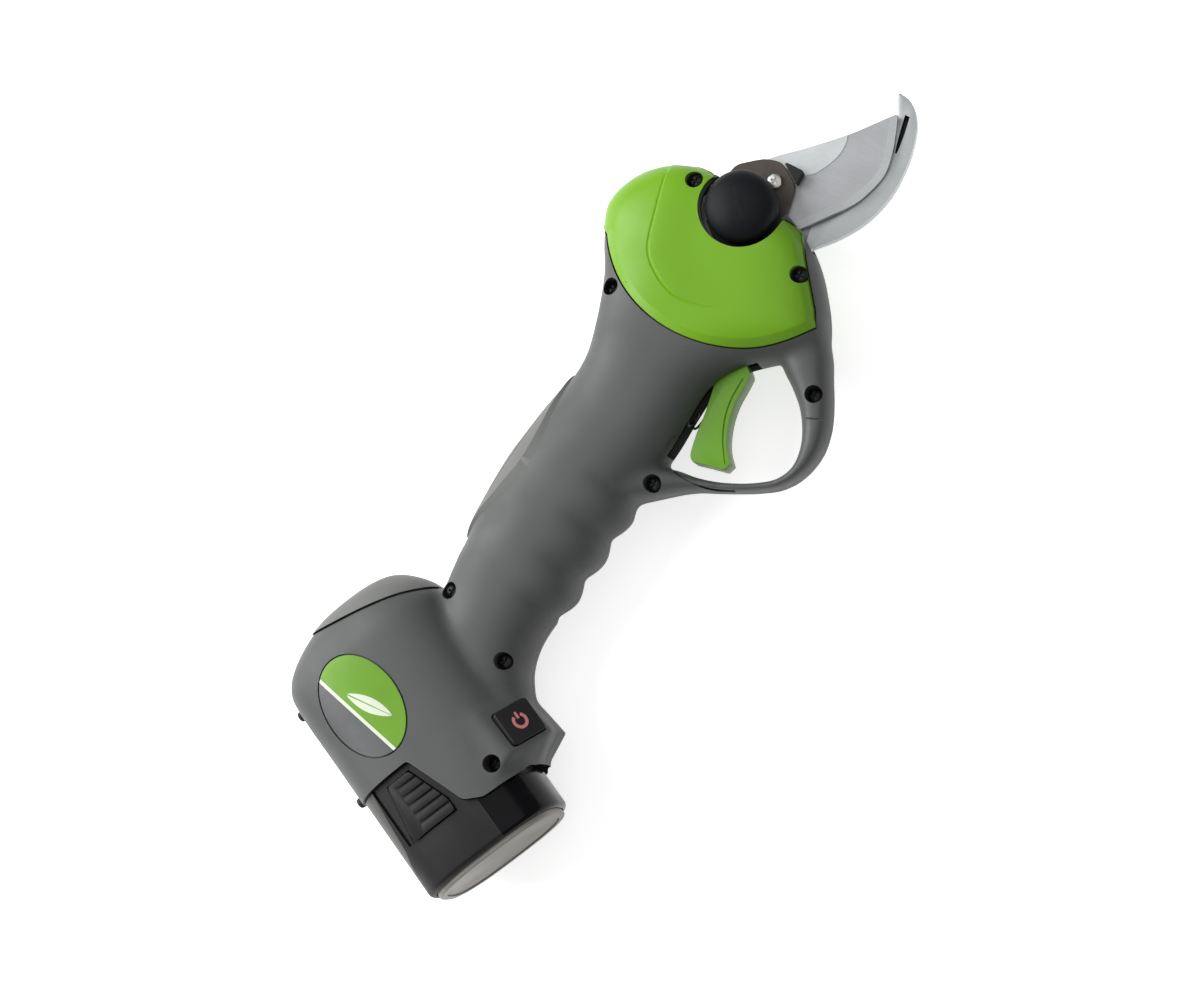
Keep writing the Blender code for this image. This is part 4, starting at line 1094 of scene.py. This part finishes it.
def make_trigger():
    front = [(-43.8, -22.0), (-48.5, -29.3), (-52, -30.4), (-60.4, -30.6), (-67.8, -32.2), (-75.2, -35.6),
             (-80.2, -40.2)]
    back = [(-86.2, -28), (-84.4, -26), (-77, -24.2), (-68, -22.9), (-58, -20.6), (-52, -18.2)]
    outline = spline(front, 5) + rounded([(-80.2, -40.2), (-83.2, -39.4), (-84.8, -33)], 0.8)[6:12]
    outline += spline(back, 4) + arc(TRIGGER_PIVOT, 3.9, 140, 30, 12)
    body = solid("trigger_lever", prism(outline, -TRIGGER_HALF, TRIGGER_HALF))
    cut(body, hole(*TRIGGER_PIVOT, 2.1, -10, 10))
    soften(body, 0.9, 3, 45)
    crease = spline([(-52, -29.3), (-60.3, -29.3), (-67.6, -30.8), (-74.6, -34), (-81.6, -39)], 5)
    inner = [(x + 0.35, y + 0.75) for x, y in crease[::-1]]
    for side in (-1, 1):
        cut(body, prism(crease + inner, side * (TRIGGER_HALF - 0.5), side * 9))
    piece(body, "trigger", TRIGGER_GREEN, ["trigger"])


def make_power_button():
    button = solid("power_button_key", prism(square(6.8, 7.4, 1.6), -2.4, 1.1, button_frame))
    soften(button, 0.5, 3, 50)
    join(button, prism(square(1.6, 1.6, 0.5), -4.2, -2, button_frame))
    piece(button, "power_button", BLACK, ["power_button"])
    ring = arc((0, 0), 3.1, 215, 505, 29) + arc((0, 0), 1.9, 505, 215, 29)
    bar = [(-3.6, -0.5), (-1.0, -0.5), (-1.0, 0.5), (-3.6, 0.5)]
    icon = merged([prism(outline, 0.9, 1.2, button_frame) for outline in (ring, bar)])
    piece(solid("power_icon", icon), "power_button", RED)


# ---- battery

def make_battery():
    skirt = panel("battery_skirt", pack_shape(0.15, 50, PACK_END - 0.2, 2.0),
                  prism(rounded(grow(BATTERY_EDGE, -0.4), 1.5), -60, 60, foot),
                  pack_shape(1.6, 40, PACK_END - 4), pack_shape(2.2, 90, 120))
    groove = [(60, -19.6), (84, -19.6), (84, -21), (60, -21)]
    cut(skirt, prism(groove, 15, 40, foot))
    rail_zone = [(40, -60), (120, -60), (120, -34), (96, -28), (84, -23.6), (60, -21), (40, -19)]
    gloss_zone = [(40, 9.5), (120, 9.5), (120, 60), (40, 60)]
    rail = common(copy_of(skirt, "battery_rail"), prism(rail_zone, -60, 60, foot))
    front = common(copy_of(skirt, "battery_front_shell"), prism(gloss_zone, -60, 60, foot))
    cut(skirt, *[prism(grow(zone, 0.12), -60, 60, foot) for zone in (rail_zone, gloss_zone)])
    for side in (-1, 1):
        cut(skirt, prism(grow(LATCH, 0.45), side * 20.4, side * 40, foot))
    for part, mat in ((rail, RAIL), (front, GLOSS_BLACK), (skirt, BLACK)):
        piece(part, "battery", mat)
    tower = solid("battery_tower", pack_shape(0, PACK_TOP, PACK_END - 2.6, 0, TOWER, 4))
    cut(tower, pack_shape(1.4, PACK_TOP + 2, 120, 0, TOWER, 4))
    slots = [[(20, t - 0.9), (30, t - 0.9), (30, t + 0.9), (20, t + 0.9)] for t in (-13, -4, 5)]
    cut(tower, merged([prism(slot, -4.6, 4.6, foot) for slot in slots]))
    piece(soften(tower, 0.6, 2, 50), "battery", BLACK, ["battery_case"])


def make_latches():
    for side, hand in SIDES:
        latch = common(solid(f"release_{hand}_key", pack_shape(-0.8, 58, 90)),
                       prism(rounded(LATCH, 1.2), side * 22.2, side * 40, foot))
        for k in range(5):
            s = 65.5 + 3.6 * k
            bar = [(s, -24), (s + 0.9, -24), (s + 0.9, 4), (s, 4)]
            cut(latch, prism(bar, side * 23.9, side * 40, foot))
        soften(latch, 0.25, 2, 50)
        piece(latch, f"release_{hand}", BLACK, [f"release_button_{hand}"])


def make_end_plate():
    plate = solid("battery_end_face", pack_shape(2.6, PACK_END - 3.6, PACK_FACE, 0.8))
    cut(plate, pack_shape(5.2, PACK_FACE - 0.5, 120))
    piece(plate, "battery", PLATE, ["battery_end_plate"])


# ---- springs

def coil_shape(base, axis, radius, wire, length, turns):
    """A wound spring of round wire with its base and length along an axis."""
    u, w = axis_frame(axis)
    steps = turns * 28
    section = [2 * pi * j / 10 for j in range(10)]
    rings = []
    for i in range(steps + 1):
        turn = 2 * pi * i / 28
        out = cos(turn) * u + sin(turn) * w
        centre = base + axis * (wire + (length - 2 * wire) * i / steps) + radius * out
        rings.append([centre + wire * (cos(a) * out + sin(a) * axis) for a in section])
    return skin(rings)


def make_springs():
    """Springs for the trigger and the release keys, each given a mesh of its own."""
    coil = coil_shape(Vector((-73, -22.8, 0)), Vector((0, 1, 0)), 2.6, 0.45, 10.8, 4)
    spring = solid("trigger_spring_coil", coil)
    piece(spring, "housing", DARK_SCREW, ["trigger_spring"])
    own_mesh(spring)
    for side, hand in SIDES:
        base = foot(73, -8, side * 20.55)
        spring = solid(f"release_{hand}_coil", coil_shape(base, Vector((0, 0, side)), 2.2, 0.3, 1.5, 1))
        piece(spring, "battery", ZINC, [f"release_spring_{hand}"])
        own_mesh(spring)


# ---- nodes kept as they are

def finish_kept_nodes():
    """Gives the nodes that stay as they are a finish, by the start of their names."""
    finishes = {
        ZINC: ("hook_screw", "pivot_nut", "sector_screw", "ring_gear", "motor_can", "trigger_pin",
               "planet_carrier"),
        GEAR: ("bevel_sector", "bevel_pinion", "motor_rotor", "sun_gear", "planet_gear"),
        BUSH: ("pivot_bush", "output_bush"),
        BOARD: ("control_board",),
        BLACK: ("button_switch", "terminal_block", "trigger_sensor"),
        RUBBER: ("wire_loom",),
        CELL: ("cell_",),
    }
    for mat, starts in finishes.items():
        for name, node in frame["nodes"].items():
            if name.startswith(starts):
                node.data.materials.clear()
                node.data.materials.append(mat)


# ---- floor, light and camera

def make_floor():
    mat, tree, shader, place = start_material("pale_floor", (0.86, 0.86, 0.86), 0.7)
    mottle = noise(tree, place, 300, 3)
    feed(tree, shader, Emission_Color=(1, 1, 1, 1), Emission_Strength=0.68,
         Base_Color=tint(tree, mottle, (0.84, 0.84, 0.84), (0.88, 0.88, 0.88)))
    mesh = bpy.data.meshes.new("floor")
    signs = ((-1, -1), (1, -1), (1, 1), (-1, 1))
    corners = [(x * FLOOR_REACH, y * FLOOR_REACH, 0) for x, y in signs]
    mesh.from_pydata(corners, [], [(0, 1, 2, 3)])
    mesh.materials.append(mat)
    floor = add_object("floor", mesh)
    floor.location.z = cad_box[0].z - 0.0002
    floor.visible_diffuse = False


def camera_axes():
    out = Vector((0, -sin(CAMERA_TILT), cos(CAMERA_TILT)))
    over = Vector((0, cos(CAMERA_TILT), sin(CAMERA_TILT)))
    right = Vector((cos(CAMERA_ROLL), 0, 0)) - sin(CAMERA_ROLL) * over
    return right, out.cross(right), out


def make_camera():
    right, up, out = camera_axes()
    data = bpy.data.cameras.new("camera")
    data.sensor_width = 36
    data.lens = data.sensor_width * CAMERA_FAR / FRAME_WIDTH
    camera = add_object("camera", data)
    turn = Matrix((right, up, out)).transposed().to_4x4()
    camera.matrix_world = Matrix.Translation(TOOL @ AIM + out * CAMERA_FAR) @ turn
    bpy.context.scene.camera = camera


def add_light(name, direction, distance, size, power):
    data = bpy.data.lights.new(name, "AREA")
    data.shape = "DISK"
    data.size = size
    data.energy = power
    light = add_object(name, data)
    light.location = TOOL @ AIM + direction.normalized() * distance
    light.rotation_mode = "QUATERNION"
    light.rotation_quaternion = direction.to_track_quat("Z", "Y")


def make_light():
    right, up, out = camera_axes()
    add_light("key", -right * 0.93 + up * 0.25 + out * 0.4, 1.6, 1.7, 42)
    add_light("fill", up * 0.3 + out, 1.8, 1.6, 5)
    world = bpy.data.worlds.new("studio")
    world.use_nodes = True
    feed(world.node_tree, world.node_tree.nodes["Background"], Color=(1, 1, 1, 1), Strength=0.3)
    bpy.context.scene.world = world
    bpy.context.scene.view_settings.view_transform = "Standard"


make_camera()
make_housing()
make_covers()
make_palm_pad()
make_heel_bumper()
make_badge()
make_studs()
make_screws()
make_fixed_blade()
make_moving_blade()
make_clamp()
make_pivot()
make_trigger()
make_power_button()
make_battery()
make_latches()
make_end_plate()
make_springs()
finish_kept_nodes()
make_floor()
make_light()
